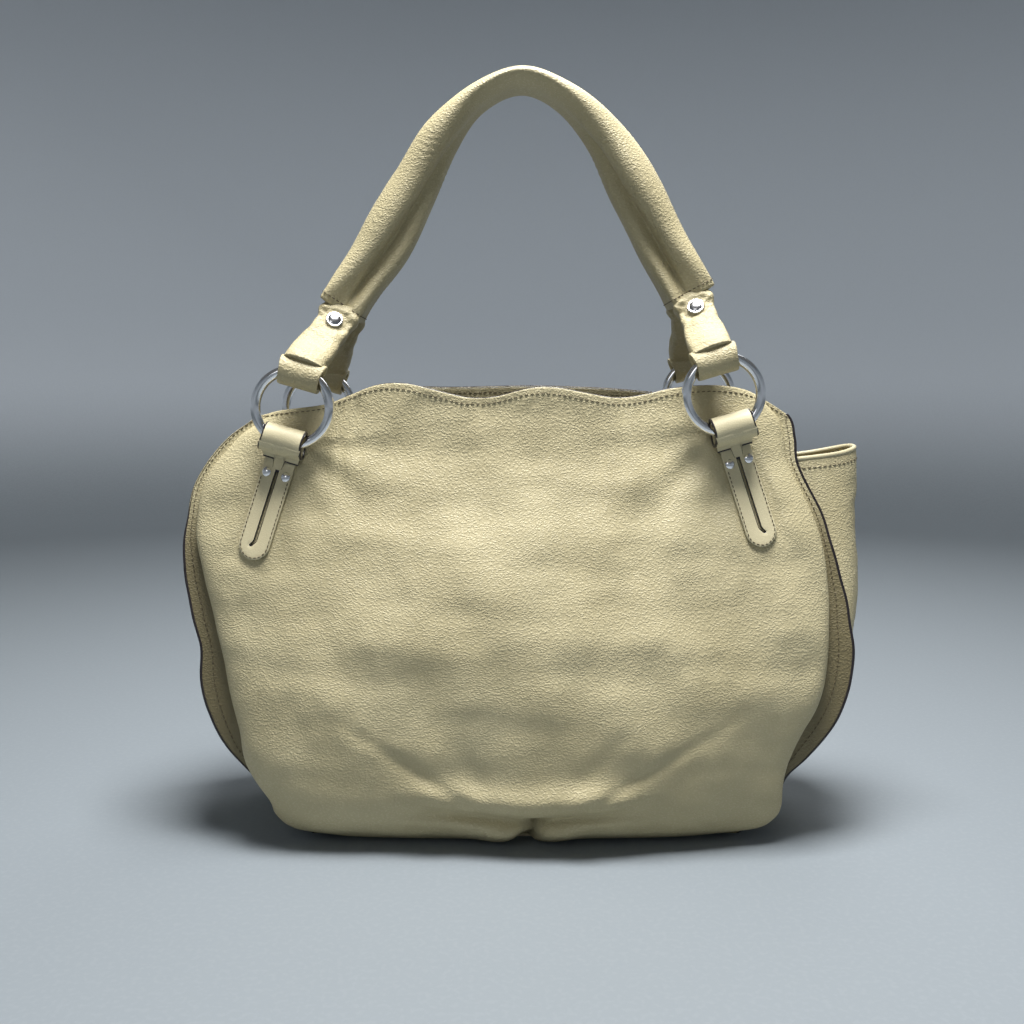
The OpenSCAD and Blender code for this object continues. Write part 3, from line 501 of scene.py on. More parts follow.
def panel_depth(x, z):
    """Half depth at (x, z): the seam's depth plus a superellipse bulge between the belly lines."""
    left, right = curve(LEFT_BELLY, z), curve(RIGHT_BELLY, z)
    q = np.clip(np.abs(2 * x - left - right) / (right - left), 0, 1)
    seam = curve(SEAM_DEPTH, z)
    return seam + (curve(BELLY_DEPTH, z) - seam) * (1 - q**SQUARE) ** (1 / SQUARE)


print("half depth of the belly at 60 mm:", round(float(panel_depth(0.0, 60.0)), 1))


# %% [markdown]
# ## Front and back panels
# Each panel is one piece of milled leather, flat where it is sewn to the gusset and full in the
# middle, where it folds under itself at a small pleat. It could be sculpted by hand, but here it is
# the frame's superellipse surface with the folds added as formulas: ripples, creases that fan out
# from the handle tabs, a soft roll above the pleat and a top edge that dips and rises.

# %% Folds of the hanging leather
FLAT_COLS, BULGE_COLS, PANEL_ROWS = 12, 190, 172
RING_X, RING_Z = {-1: -138.0, 1: 129.0}, {-1: 275.0, 1: 283.0}
TAB_LEAN, HINGE_R = math.radians(16), 21.3
TAB_TOPS = {s: (RING_X[s] + s * HINGE_R * math.sin(TAB_LEAN), RING_Z[s] - HINGE_R * math.cos(TAB_LEAN))
            for s in (-1, 1)}


def under_tab(x, z):
    """1 where a handle tab lies flat on the panel, fading to 0 around it."""
    cover = 0.0
    for s, (x0, z0) in TAB_TOPS.items():
        down = s * math.sin(TAB_LEAN) * (x - x0) - math.cos(TAB_LEAN) * (z - z0)
        across = np.abs(math.cos(TAB_LEAN) * (x - x0) + s * math.sin(TAB_LEAN) * (z - z0))
        cover = cover + (1 - smooth(10.5, 16, across)) * smooth(-8, 2, down) * (1 - smooth(76, 84, down))
    return cover


def folds(x, z, side):
    """How far the leather stands out (+) or in (-) from the plain surface, in mm."""
    seed = 11 if side < 0 else 23
    left, right = curve(LEFT_SEAM, z), curve(RIGHT_SEAM, z)
    from_edge = np.minimum(x - left, right - x)
    calm = smooth(3, 30, from_edge) * smooth(0, 16, z)
    wave = 2.3 * ripple(x, z, 150, 170, seed) + 0.8 * ripple(x, z, 56, 44, seed + 1)
    small = 0.16 * ripple(x, z, 17, 22, seed + 2, 14)
    lift = calm * (wave + small)
    dips = np.where(side < 0, 1.0, 0.6)
    for x0, wide in ((-31, 15), (61, 14), (-104, 11), (15, 12)):
        hang = smooth(200, 282, z)
        flute = np.cos(2 * math.pi * (x - x0) / wide) * np.exp(-((x - x0) / (1.6 * wide))**2)
        lift = lift + 1.1 * dips * hang * flute
    for s, (x0, z0) in TAB_TOPS.items():
        dx, dz = (x - x0) * s, z - z0
        angle = np.arctan2(-dx, -dz)
        away = np.hypot(dx, dz)
        fan = np.cos(11 * angle + 0.8 * s) * smooth(10, 30, away) * (1 - smooth(46, 120, away))
        lift = lift + calm * 0.85 * fan * np.clip(np.cos(angle - 0.5), 0, 1)
    lift = np.maximum(lift, -2.4 - 1.6 * (1 - smooth(120, 200, z)))
    return np.minimum(lift, mix(8.0, 0.4, smooth(225, 262, z))) * (1 - under_tab(x, z))


print("folds ready")

# %% [markdown]
# ## Pleat
# At the foot of the belly the spare leather is folded into one small pleat. Cloth simulation would
# place it anew each time something changes, so it is drawn: a soft roll, the crease below it, a notch
# and the lobes beside the notch, each a bell curve across a line.

# %% The pleat
def pleat(x, z):
    """Roll above the base, crease under it, two lobes and their notch, in mm outwards."""
    middle = 6 + 0.45 * (z - 4)
    away = np.abs(x - 6)
    crease = 20 + 0.11 * away
    across = 1 - smooth(34, 100, away)
    roll = 5.5 * np.exp(-((z - crease - 14) / 9) ** 2) * across
    under = -8.0 * np.exp(-((z - crease) / 4.2) ** 2) * (1 - smooth(26, 86, away))
    notch = -17.0 * np.exp(-((x - middle) / 4.6) ** 2) * (1 - smooth(13, 26, z))
    low = 1 - smooth(9, 19, z)
    lobes = low * (5.5 * np.exp(-((x - middle + 16) / 12) ** 2)
                   + 5.0 * np.exp(-((x - middle - 18) / 13) ** 2))
    fans = 0.0
    for lean, shift, deep in ((-1.5, -12, 2.0), (-0.7, -4, 1.0), (0.9, 14, 1.1), (1.7, 26, 1.8)):
        line = (x - shift) - lean * (z - 22)
        fans = fans - deep * np.exp(-(line / 8) ** 2) * smooth(22, 38, z) * (1 - smooth(48, 96, z))
    return roll + under + notch + lobes + fans


def face_depth(x, z, side):
    """Distance of a panel's face from the middle of the bag."""
    return panel_depth(x, z) + folds(x, z, side) + pleat(x, z) * (1.0 if side < 0 else 0.85)


def overhang(x, z):
    """Sideways swell, in mm, of the belly over its fold line, widest where it is half out."""
    left, right = curve(LEFT_BELLY, z), curve(RIGHT_BELLY, z)
    q = np.clip((2 * x - left - right) / (right - left), -1, 1)
    out = (1 - np.abs(q)**SQUARE) ** (1 / SQUARE)
    reach = mix(11.0, 3.0, smooth(42, 78, z)) * smooth(0, 9, z) * (1 - smooth(225, 262, z))
    return np.sign(q) * reach * np.sin(math.pi * np.clip(out, 0, 1)) * np.abs(q) ** 6


print("deepest place of the pleat:", round(float(pleat(np.array([6.0]), np.array([6.0]))[0]), 1), "mm")

# %% [markdown]
# ## Panel grid
# The columns of the grid follow the flange, then crowd where the belly turns over and spread across its
# middle, so there are points where the surface bends. The first rows tuck under the base.

# %% The panel grid
def panel_grid(side):
    """Outer face of a panel; side is -1 for the front. Columns run left to right seen from outside."""
    u0 = np.linspace(0, math.pi, BULGE_COLS)
    bulge = (1 - signed_power(np.cos(u0), 2 / SQUARE)) / 2
    v = np.linspace(0, 1, PANEL_ROWS)[:, None]
    v = v - 0.055 * np.sin(2 * math.pi * v)
    left_z = mix(FOOT, LEFT_TOP[1], v)
    right_z = mix(FOOT, RIGHT_TOP[1], v)
    seam_l, seam_r = curve(LEFT_SEAM, left_z), curve(RIGHT_SEAM, right_z)
    belly_l, belly_r = curve(LEFT_BELLY, left_z), curve(RIGHT_BELLY, right_z)
    flat = np.linspace(0, 1, FLAT_COLS + 1)[:-1][None]
    x = np.concatenate([mix(seam_l, belly_l, flat), mix(belly_l, belly_r, bulge[None]),
                        mix(belly_r, seam_r, flat + 1 / FLAT_COLS)], 1)
    u = (x - seam_l) / (seam_r - seam_l)
    x_top = mix(LEFT_TOP[0], RIGHT_TOP[0], u)
    top = curve(TOP_EDGE if side < 0 else BACK_TOP_EDGE, x_top)
    z = mix(left_z, right_z, u) + v**3 * (top - mix(LEFT_TOP[1], RIGHT_TOP[1], u))
    wavy_edge = 0.4 * ripple(z, z * 0, 34, 34, 31 + side) * smooth(0.88, 1.0, np.abs(2 * u - 1))
    grid = np.stack([x + wavy_edge + overhang(x, z), side * face_depth(x, z, side), z], -1)
    t = np.array([1.0, 0.75, 0.5, 0.25])[:, None]
    tuck = np.stack([grid[0, :, 0] * (1 - 0.05 * t), grid[0, :, 1] * (1 - 0.14 * t),
                     FOOT - 1.7 * np.sin(t * math.pi / 2) + 0 * grid[0, :, 0]], -1)
    grid = np.concatenate([tuck, grid])
    return grid if side < 0 else grid[:, ::-1]


def thicken(outer, thick):
    """Outer grid and the grid thick mm behind it."""
    return outer - normals(outer) * thick


print("panel grid ready")

# %% [markdown]
# ## Panels
# The front and back are the same grid with other folds. A mirrored copy would be quicker, but two
# panels of real leather never hang alike.

# %% Panels
def painted_flange_shade(panel, grid):
    """Painted shade per point: 1 on the flange, falling to 0 on the belly and towards the mouth."""
    column = np.arange(grid.shape[1])
    inwards = np.minimum(column, column[::-1])
    value = (1 - smooth(FLAT_COLS - 1, FLAT_COLS + 5, inwards)) * (1 - smooth(180, 235, grid[..., 2]))
    values = np.zeros(len(panel.data.vertices), np.float32)
    values[:value.size] = value.ravel()
    panel.data.attributes.new("painted_flange_shade", "FLOAT", "POINT").data.foreach_set("value", values)


def build_panel(name, side, node):
    """Panel leather with its painted cut edge."""
    outer = panel_grid(side)
    inner = thicken(outer, LEATHER)
    panel = sheet(name, outer, inner, [PEBBLED, EDGE_PAINT], pushed=0.3)
    # Painted shade on the flanges, stored on the points.
    painted_flange_shade(panel, outer)
    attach(panel, "bag")
    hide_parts(node)
    return outer


FRONT = build_panel("front_leather", -1, "front_panel")
BACK = build_panel("back_leather", 1, "back_panel")
print("panel grid:", FRONT.shape, "front reaches y =", round(FRONT[..., 1].min(), 1))

# %% [markdown]
# ## Stitches
# A seam reads as hand-made when every stitch is a separate bead of thread that dips into its holes.
# A dashed texture would look flat at the seam, so each stitch is a small six-sided capsule. All the
# stitches of a seam share one mesh and come from one array operation.

# %% Rows of stitches
def along(line, pitch):
    """Points and directions every pitch mm along a line of points, from their running length."""
    step = np.linalg.norm(np.diff(line, axis=0), axis=1)
    run = np.concatenate([[0], np.cumsum(step)])
    at = np.arange(pitch / 2, run[-1], pitch)
    point = np.stack([np.interp(at, run, line[:, k]) for k in range(3)], 1)
    ahead = np.stack([np.interp(at + pitch / 3, run, line[:, k]) for k in range(3)], 1)
    behind = np.stack([np.interp(at - pitch / 3, run, line[:, k]) for k in range(3)], 1)
    return point, unit(ahead - behind), at, run


def stitch_row(line, outwards, pitch=3.5, thick=0.52, fill=0.72):
    """Capsules along a line: lengthwise, three rings of six points and an end point at each end."""
    point, direction, at, run = along(line, pitch)
    out = np.stack([np.interp(at, run, outwards[:, k]) for k in range(3)], 1)
    out = unit(out - direction * (out * direction).sum(1, keepdims=True))
    side = np.cross(direction, out)
    reach = np.array([-1, -0.75, -0.3, 0.3, 0.75, 1]) * pitch * fill / 2
    radius = np.array([0.05, 0.75, 1.0, 1.0, 0.75, 0.05]) * thick / 2
    rise = np.array([-0.5, 0.25, 0.5, 0.5, 0.25, -0.5]) * thick * 0.6
    w = np.linspace(0, 2 * math.pi, 7)[:-1]
    ring = (side[:, None, None] * np.cos(w)[None, None, :, None]
            + out[:, None, None] * np.sin(w)[None, None, :, None]) * radius[None, :, None, None]
    middle = (point[:, None] + direction[:, None] * reach[None, :, None]
              + out[:, None] * rise[None, :, None])
    return (middle[:, :, None] + ring).reshape(len(point), -1, 3)


print("stitch capsules ready")

# %% [markdown]
# ## Seams
# Separate objects for thousands of stitches would be slow. All capsules have the same faces, so their
# corner numbers are one small table, shifted along.

# %% Seams as one mesh
def stitches(name, rows, body):
    """One mesh with all the capsules of several rows."""
    capsules = np.concatenate(rows)
    quads = grid_quads(6, 6, wrap=True)[:, ::-1]
    caps = np.array([[0, 1, 2, 3, 4, 5], [35, 34, 33, 32, 31, 30]])
    n = capsules.shape[1]
    start = np.arange(len(capsules))[:, None, None] * n
    faces = [list(f) for f in (quads[None] + start).reshape(-1, 4)]
    faces += [list(f) for f in (caps[None] + start).reshape(-1, 6)]
    piece = make_object(name, capsules.reshape(-1, 3), faces, [THREAD])
    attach(piece, body)


print("seam maker ready")

# %% [markdown]
# ## Where seams run
# A seam follows the edge of its leather at a fixed distance. Lines are read off the grids themselves,
# so each stitch sits on the folded surface and not in front of it.

# %% Lines to sew along
def line_on(grid, column, lift=0.15):
    """Line up a grid at a fraction of a column, lift mm off its face, with its outward normals."""
    n = normals(grid)
    face = grid + n * lift
    i = int(column)
    return mix(face[:, i], face[:, i + 1], column - i), n[:, i]


def row_below_top(grid, drop):
    """Line drop mm below a panel's top row, with its normals."""
    gap_length = np.linalg.norm(np.diff(grid[::-1], axis=0), axis=2)
    run = np.concatenate([np.zeros((1, grid.shape[1])), np.cumsum(gap_length, 0)])
    i = np.argmax(run > drop, axis=0)
    cols = np.arange(grid.shape[1])
    t = (drop - run[i - 1, cols]) / (run[i, cols] - run[i - 1, cols])
    flipped = grid[::-1]
    n = normals(grid)[::-1]
    return mix(flipped[i - 1, cols], flipped[i, cols], t[:, None]) + n[i, cols] * 0.15, n[i, cols]


def panel_stitches(name, grid):
    """Top row and the two flange rows of a panel."""
    top, top_out = row_below_top(grid, 4.2)
    rows = [stitch_row(top[3:-3], top_out[3:-3])]
    for column in (FLAT_COLS * 0.42, grid.shape[1] - 2 - FLAT_COLS * 0.42):
        edge, out = line_on(grid, column)
        rows.append(stitch_row(edge[4:-4], out[4:-4]))
    stitches(name, rows, "bag")
    return sum(len(r) for r in rows)


print("stitches:", panel_stitches("front_stitches", FRONT), panel_stitches("back_stitches", BACK))

# %% [markdown]
# ## Painted flange edges
# At each side the panel and the gusset lie face to face, and their cut edges are sealed together with
# dark paint that stands proud as a thin bead. A bevel would only round the edge, so the bead is a small
# flat tube carried along the panel's own outermost column.

# %% Edge beads
BAND = 9.0
BEAD_SIDES = 10


def edge_bead(name, grid, column, out, proud):
    """Tube along a grid column: a rounded rectangle that stands proud mm past the edge."""
    edge = grid[:, column]
    w = np.linspace(0, 2 * math.pi, BEAD_SIDES, endpoint=False)
    inwards = -np.sign(edge[:, 1:2])
    across = signed_power(np.cos(w), 0.6)[None] * (proud(edge[:, 2:3]) + 0.9) / 2
    deep = signed_power(np.sin(w), 0.6)[None] * 1.95
    x = edge[:, 0:1] + out * (across + (proud(edge[:, 2:3]) - 0.9) / 2)
    y = edge[:, 1:2] + inwards * (1.7 + deep)
    z = np.broadcast_to(edge[:, 2:3], x.shape)
    bead = tube(name, np.stack([x, y, z], -1), [EDGE_PAINT])
    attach(bead, "bag")


def bead_height(z):
    """The bead stands 1.3 mm proud below and thins where the edge turns back near the top."""
    return 1.3 - 1.7 * smooth(180, 225, z)


edge_bead("edge_front_left", FRONT, 0, -1, bead_height)
edge_bead("edge_front_right", FRONT, -1, 1, lambda z: 1.4 + 0 * z)
edge_bead("edge_back_right", BACK, 0, 1, lambda z: 1.4 + 0 * z)
edge_bead("edge_back_left", BACK, -1, -1, bead_height)
print("edge beads:", 4)

# %% [markdown]
# ## Gussets
# The gusset is the narrow end wall. Its front and back edges bend outwards to meet the panels, and its
# middle is pushed into the bag by the pocket. One grid carries bands and wall, so the bends stay closed.

# %% Gussets
GUSSET_TOP, GUSSET_BOW, GUSSET_DIP = 250.0, 3.0, 5.0


def seam_line(side, z):
    """Outermost x of the flange at height z."""
    return curve(RIGHT_SEAM if side > 0 else LEFT_SEAM, z)


def gusset_grid(side, layer):
    """Bands behind both flanges and a wall with a parabola's bow; layer is the depth within the leather."""
    z = np.linspace(FOOT, GUSSET_TOP, 84)[:, None]
    seam, half = seam_line(side, z), curve(SEAM_DEPTH, z) - LEATHER - GAP - layer
    wall = BAND + LEATHER - layer
    band = np.linspace(0, 1, 6)[None, :-1]
    f = np.linspace(-1, 1, 37)[None]
    bow = 1 - f**2
    soft = 0.5 * bow * ripple(f * 30, z, 30, 60, 41)
    x = np.concatenate([seam - side * wall * band, seam - side * (wall + GUSSET_BOW * bow + soft),
                        (seam - side * wall * band)[:, ::-1]], 1)
    y = np.concatenate([-half + 0 * band, half * f, (half + 0 * band)], 1)
    dip = GUSSET_DIP * bow * (z / GUSSET_TOP) ** 4
    zz = np.concatenate([z + 0 * band, z - dip, z + 0 * band], 1)
    return np.stack([x, y, zz], -1)


for side, label in ((-1, "left"), (1, "right")):
    gusset = sheet(f"gusset_{label}_leather", gusset_grid(side, LEATHER), gusset_grid(side, 0.0),
                   [PEBBLED, EDGE_PAINT])
    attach(gusset, "bag")
    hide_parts(f"gusset_{label}")
print("gussets made")

# %% [markdown]
# ## Side pockets
# Each end carries an open pocket whose mouth gapes. Its wall is half a superellipse in plan that grows
# with height. The mouth has a turned rim and a row of stitches below it.

# %% Side pockets
POCKET_LEFT = [(18, -150), (60, -183), (100, -199), (140, -205), (188, -210), (215, -205), (245, -190)]
POCKET_RIGHT = [(18, 166), (60, 194), (100, 213), (140, 224), (175, 227), (213, 226), (250, 223)]
POCKET_FOOT, POCKET_TOP, POCKET_ROOT = 18.0, 241.0, 6.0


def pocket_grid(side, layer):
    """Half superellipse in plan from flange to flange, rising 7 mm in the middle of the mouth."""
    z = np.linspace(POCKET_FOOT, POCKET_TOP, 96)[:, None]
    a = np.linspace(-math.pi / 2, math.pi / 2, 61)[None]
    root = seam_line(side, z) - side * POCKET_ROOT
    cos = np.clip(np.cos(a), 0, None)
    sag = cos * (0.9 * ripple(a * 22, z, 70, 52, 51 + side) + 0.25 * ripple(a * 22, z, 18, 16, 53))
    out = side * (curve(POCKET_RIGHT if side > 0 else POCKET_LEFT, z) - root) - layer + sag
    depth = curve(SEAM_DEPTH, z) - 2 * LEATHER - 2 * GAP - 0.4 - layer
    mouth = 1.2 * np.sin(2.5 * a + side) * cos * (z / POCKET_TOP) ** 6
    return np.stack(np.broadcast_arrays(root + side * out * cos**0.8, depth * signed_power(np.sin(a), 0.8),
                                        z + (7 * cos + mouth) * (z / POCKET_TOP) ** 3), -1)


def rim_tube(name, line, normal, radius, material, body):
    """Round tube along a line, flattened against the leather, with both ends closed."""
    along_line = unit(np.gradient(line, axis=0))
    side = np.cross(along_line, normal)
    w = np.linspace(0, 2 * math.pi, 10, endpoint=False)[None, :, None]
    rings = line[:, None] + normal[:, None] * np.cos(w) * radius + side[:, None] * np.sin(w) * radius * 1.25
    rim = tube(name, rings, [material])
    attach(rim, body)


for side, label in ((-1, "left"), (1, "right")):
    outer, inner = pocket_grid(side, 0.0), pocket_grid(side, LEATHER)
    pocket = sheet(f"side_pocket_{label}_leather", outer, inner, [PEBBLED, RAW_EDGE])
    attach(pocket, "bag")
    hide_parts(f"side_pocket_{label}")
    facing_out = normals(outer)
    facing_out = facing_out * np.sign((facing_out * (outer - outer.mean((0, 1)))).sum(-1).mean())
    rim_line = (outer[-1] + inner[-1])[1:-1] / 2
    rim_tube(f"pocket_rim_{label}", rim_line, facing_out[-1, 1:-1], 1.35, RAW_EDGE, "bag")
    row = outer.shape[0] - 1 - 2.6
    line = mix(outer[int(row)], outer[int(row) + 1], row - int(row)) + facing_out[int(row)] * 0.15
    stitches(f"pocket_stitches_{label}", [stitch_row(line[2:-2], facing_out[int(row), 2:-2])], "bag")
print("side pockets made")

# %% [markdown]
# ## Facings
# Inside the mouth each panel is backed with a facing, which carries the snap. It repeats the panel's
# own upper rows, shifted inwards, so it follows every wave of the edge without touching the panel.

# %% Facings
FACING_ROWS, FACING_SIDE = 34, 24


def build_facing(name, grid, node, thick=1.2, back=LEATHER + 0.35):
    """Copy of a panel's top rows, back mm inside its face and thick mm thick."""
    part = grid[-FACING_ROWS:, FLAT_COLS + FACING_SIDE:-FLAT_COLS - FACING_SIDE]
    outer, inner = thicken(part, back), thicken(part, back + thick)
    drop = np.linspace(0.3, 0.6, FACING_ROWS)[:, None, None] * np.array([0, 0, 1])
    facing = sheet(name, outer - drop, inner - drop, [PEBBLED, EDGE_PAINT])
    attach(facing, "bag")
    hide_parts(node)
    line, n = row_below_top(part, 4.2)
    stitches(name + "_stitches", [stitch_row(line - n * (back + thick + 0.3), -n)], "bag")


build_facing("facing_front", FRONT, "top_facing_front")
build_facing("facing_back", BACK, "top_facing_back")
print("facings made")

# %% [markdown]
# ## Lining and inner pockets
# The lining is a loose cloth bag. It could be simulated, but it is held all round by the facings, so a
# superellipse loft with soft vertical folds gives the same shape every run. Its skin goes up the
# outside, over the top edge and down the inside, which keeps it one closed surface.

# %% Lining
LINING_FOOT, LINING_TOP, LINING_THICK, LINING_INSET = 4.8, 244.0, 0.8, 5.09


def lining_depth(z):
    """Half depth of the lining at height z, clear of the facings."""
    return np.minimum(curve(BELLY_DEPTH, z), curve(BELLY_DEPTH, np.maximum(z - 9, 0))) - LINING_INSET


def lining_rings(z, layer, shrink):
    """Superellipse rings of power 4 at heights z, pulled in at the pleat and by shrink."""
    z, layer, shrink = (np.asarray(v, float)[:, None] for v in (z, layer, shrink))
    left, right = curve(LEFT_SEAM, z), curve(RIGHT_SEAM, z)
    w = np.linspace(0, 2 * math.pi, 160, endpoint=False)[None]
    wall = smooth(30, 90, z) * (1 - smooth(225, 244, z))
    flat_back = 1 - np.exp(-((w - math.pi / 2) / 0.5) ** 4) - np.exp(-((w - 3 * math.pi / 2) / 0.4) ** 4)
    loose = 0.5 * wall * flat_back * (ripple(w * 40, z, 20, 160, 61) - 1.2)
    a = (right - left) / 2 - BAND - LEATHER - GUSSET_BOW - 6 - layer + loose
    x = (left + right) / 2 + shrink * a * signed_power(np.cos(w), 0.5)
    b = lining_depth(z) - layer + loose + np.minimum(pleat(x, z), 0) * (1 - smooth(20, 30, z))
    return np.stack(np.broadcast_arrays(x, shrink * b * signed_power(np.sin(w), 0.5), z), -1)


def build_lining():
    """Skin from the middle of the floor outwards, up, over the edge, down and back to the middle."""
    wall = mix(LINING_FOOT, LINING_TOP, np.linspace(0, 1, 60) ** 1.3)
    inside = np.where(wall < LINING_FOOT + LINING_THICK, LINING_FOOT + LINING_THICK, wall)[::-1]
    floor = np.linspace(0.02, 0.97, 10)
    z = np.concatenate([np.full(10, LINING_FOOT), wall, inside, np.full(10, LINING_FOOT + LINING_THICK)])
    layer = np.concatenate([np.zeros(70), np.full(70, LINING_THICK)])
    shrink = np.concatenate([floor, np.ones(120), floor[::-1]])
    bag = tube("lining_bag", lining_rings(z, layer, shrink), [LINING])
    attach(bag, "bag")
    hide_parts("lining")


build_lining()
print("lining made")

# %% [markdown]
# ## Pockets inside
# Two flat cloth pockets are sewn to the lining, one closed by a zip and one open for a phone. They are
# drawn flat, then laid on the leaning wall of the lining, which keeps their size true.

# %% Pockets on the lining
POUCH_TOP, POUCH_HIGH, PHONE_HIGH = 205.0, 86.0, 70.0


def on_lining(local, high, back):
    """Points given on the lining's wall, x along it, y off it into the bag and z up from its top line."""
    lean = math.atan((lining_depth(POUCH_TOP - high) - lining_depth(POUCH_TOP)) / high)
    x, y, z = local[..., 0], local[..., 1], local[..., 2]
    depth = (lining_depth(POUCH_TOP) - LINING_THICK) * 0.975 - GAP
    world_y = depth - y * math.cos(lean) - z * math.sin(lean)
    world_z = POUCH_TOP - y * math.sin(lean) + z * math.cos(lean)
    return np.stack([x, world_y * (1 if back else -1), world_z], -1)


def patch(name, node, half_wide, high, thick, stand, back, material):
    """Cloth patch whose middle stands off the wall by stand mm times a flat-topped dome."""
    u, v = np.linspace(-1, 1, 45)[None], np.linspace(0, 1, 33)[:, None]
    corner = 3.0 * np.abs(u) ** 12 * (1 - v) ** 6
    dome = (1 - u**6) * smooth(0, 0.18, v)
    off = 0.1 + stand * dome + 0.15 * ripple(u * half_wide, v * high, 40, 30, 71) * dome
    local = np.stack(np.broadcast_arrays(u * (half_wide - 0.3 - corner), off, (v - 1) * (high - 0.3)), -1)
    front = local + np.array([0, thick, 0])
    piece = sheet(name, on_lining(front, high, back), on_lining(local, high, back), [material, material])
    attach(piece, "bag")
    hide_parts(node)
    margin = local[2:, 2:-2] + np.array([0, thick + 0.1, 0])
    path = np.concatenate([margin[::-1, 0], margin[0, 1:-1], margin[:, -1]])
    world = on_lining(path, high, back)
    out = unit(on_lining(path + np.array([0, 1, 0]), high, back) - world)
    stitches(name + "_stitches", [stitch_row(world, out, pitch=3.0, thick=0.45)], "bag")


patch("zip_pouch_cloth", "zip_pouch", 92.0, POUCH_HIGH, 1.3, 0.2, True, LINING)
patch("phone_pocket_cloth", "phone_pocket", 55.0, PHONE_HIGH, 0.9, 2.8, False, LINING)
print("inner pockets made")

# %% [markdown]
# ## Base
# A separate leather base closes the bag. It is a plate with softly rounded edges, set back a little, so
# the panels roll over it and only its underside shows.

# %% Base leather
BASE_THICK = 2.2


def build_base():
    """Rounded rectangle rings, power 8, with a quarter-round edge above and below."""
    t = np.linspace(-1, 1, 9)
    z = BASE_THICK / 2 * (1 + np.sin(t * math.pi / 2))
    inset = 1.1 * (1 - np.cos(t * math.pi / 2))
    floor = np.linspace(0.02, 0.98, 8)
    heights = np.concatenate([np.full(8, 0.0), z, np.full(8, BASE_THICK)])
    shrink = np.concatenate([floor, np.ones(9), floor[::-1]])
    edge = np.concatenate([np.full(8, 1.1), inset, np.full(8, 1.1)])
    w = np.linspace(0, 2 * math.pi, 120, endpoint=False)
    middle = (LEFT_SEAM[0][1] + RIGHT_SEAM[0][1]) / 2
    x = middle + shrink[:, None] * (128 - edge[:, None]) * signed_power(np.cos(w), 0.25)[None]
    y = shrink[:, None] * (48 - edge[:, None]) * signed_power(np.sin(w), 0.25)[None]
    base = tube("base_leather", np.stack(np.broadcast_arrays(x, y, heights[:, None]), -1), [SMOOTH])
    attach(base, "bag")
    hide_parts("base_panel")


build_base()
print("base made")

# %% [markdown]
# ## Ring tabs
# A strip of leather wraps each lower ring. Under the ring it narrows to a neck and widens into a
# slotted paddle, riveted at the shoulders and stitched round its end. The tab leans 16 degrees, so its
# shape is drawn in its own pair of distances: s down the tab and e across it.

# %% Tab layout
RING_Y, ROLL_STEPS = 44.8614, 64
ROLL_R, CAVITY_R, ROLL_HALF = 9.3, 7.0, 12.7
TAB_LONG, TAB_HALF, SHOULDER, SLOT_TOP, SLOT_END = 76.0, 10.0, 13.0, 17.0, 68.0
APRON_ROWS, APRON_COLS, PAINTED_ROWS = 30, 47, 2


def roll_place(side, top):
    """Middle of the lower or upper roll round a ring."""
    s = -1 if top else 1
    return np.array([RING_X[side] + s * side * HINGE_R * math.sin(TAB_LEAN), -RING_Y,
                     RING_Z[side] - s * HINGE_R * math.cos(TAB_LEAN)])


def tab_xz(side, s, e):
    """x and z of the place s below the roll's middle and e across."""
    x0, _, z0 = roll_place(side, False)
    return (x0 + side * s * math.sin(TAB_LEAN) + e * math.cos(TAB_LEAN),
            z0 - s * math.cos(TAB_LEAN) + side * e * math.sin(TAB_LEAN))


def tab_point(side, s, e, lift):
    """Point lift mm off the panel's face, seen in the tab's own distances."""
    x, z = tab_xz(side, s, e)
    return np.stack(np.broadcast_arrays(x, -(face_depth(x, z, -1) + 0.3 + lift), z), -1)


def outline(top, bottom, half):
    """Closed outline with square shoulders and a round end, as (s, e) with 152 points."""
    side_s = np.linspace(top, bottom - half, 56)
    turn = np.linspace(math.pi / 2, -math.pi / 2, 26)[1:-1]
    s = np.concatenate([np.full(8, top), side_s, bottom - half + half * np.cos(turn), side_s[::-1],
                        np.full(8, top)])
    e = np.concatenate([np.linspace(0, half, 9)[:-1], np.full(56, half), half * np.sin(turn),
                        np.full(56, -half), np.linspace(-half, 0, 9)[1:]])
    return s, e


print("left lower roll at:", roll_place(-1, False).round(1))

# %% [markdown]
# ## Sheets with a hole
# The paddle has a long slot, so it is a washer stretched out. A Boolean cut would leave ragged faces,
# while a grid between the outline of the slot and the outline of the tab stays even.

# %% Washer-shaped sheets
def ring_sheet(name, outer, inner, materials):
    """Closed sheet like a washer: rows go from the painted hole to the rim, columns run round."""
    rows, cols = outer.shape[:2]
    n = rows * cols
    quads = grid_quads(rows, cols, wrap=True)
    i = np.arange(cols)
    k = (i + 1) % cols
    last = (rows - 1) * cols
    hole = np.stack([i, i + n, k + n, k], 1)
    rim = np.stack([last + i, last + k, last + k + n, last + i + n], 1)
    material = np.zeros(len(quads), int)
    material[:cols] = 1
    return make_object(name, np.concatenate([outer.reshape(-1, 3), inner.reshape(-1, 3)]),
                       np.concatenate([quads, quads[:, ::-1] + n, hole, rim]), materials,
                       np.concatenate([material, np.zeros(len(quads), int), np.full(cols, 1),
                                       np.full(cols, 2)]))


def mirrored(points, back):
    """Front points, or the same on the back of the bag."""
    return points * np.array([1, -1, 1]) if back else points


print("washer sheets ready")

# %% [markdown]
# ## Paddle
# The paddle lies on the panel and follows its folds. Its face is slightly crowned and its slot bends
# at the foot, as the knife leaves it.

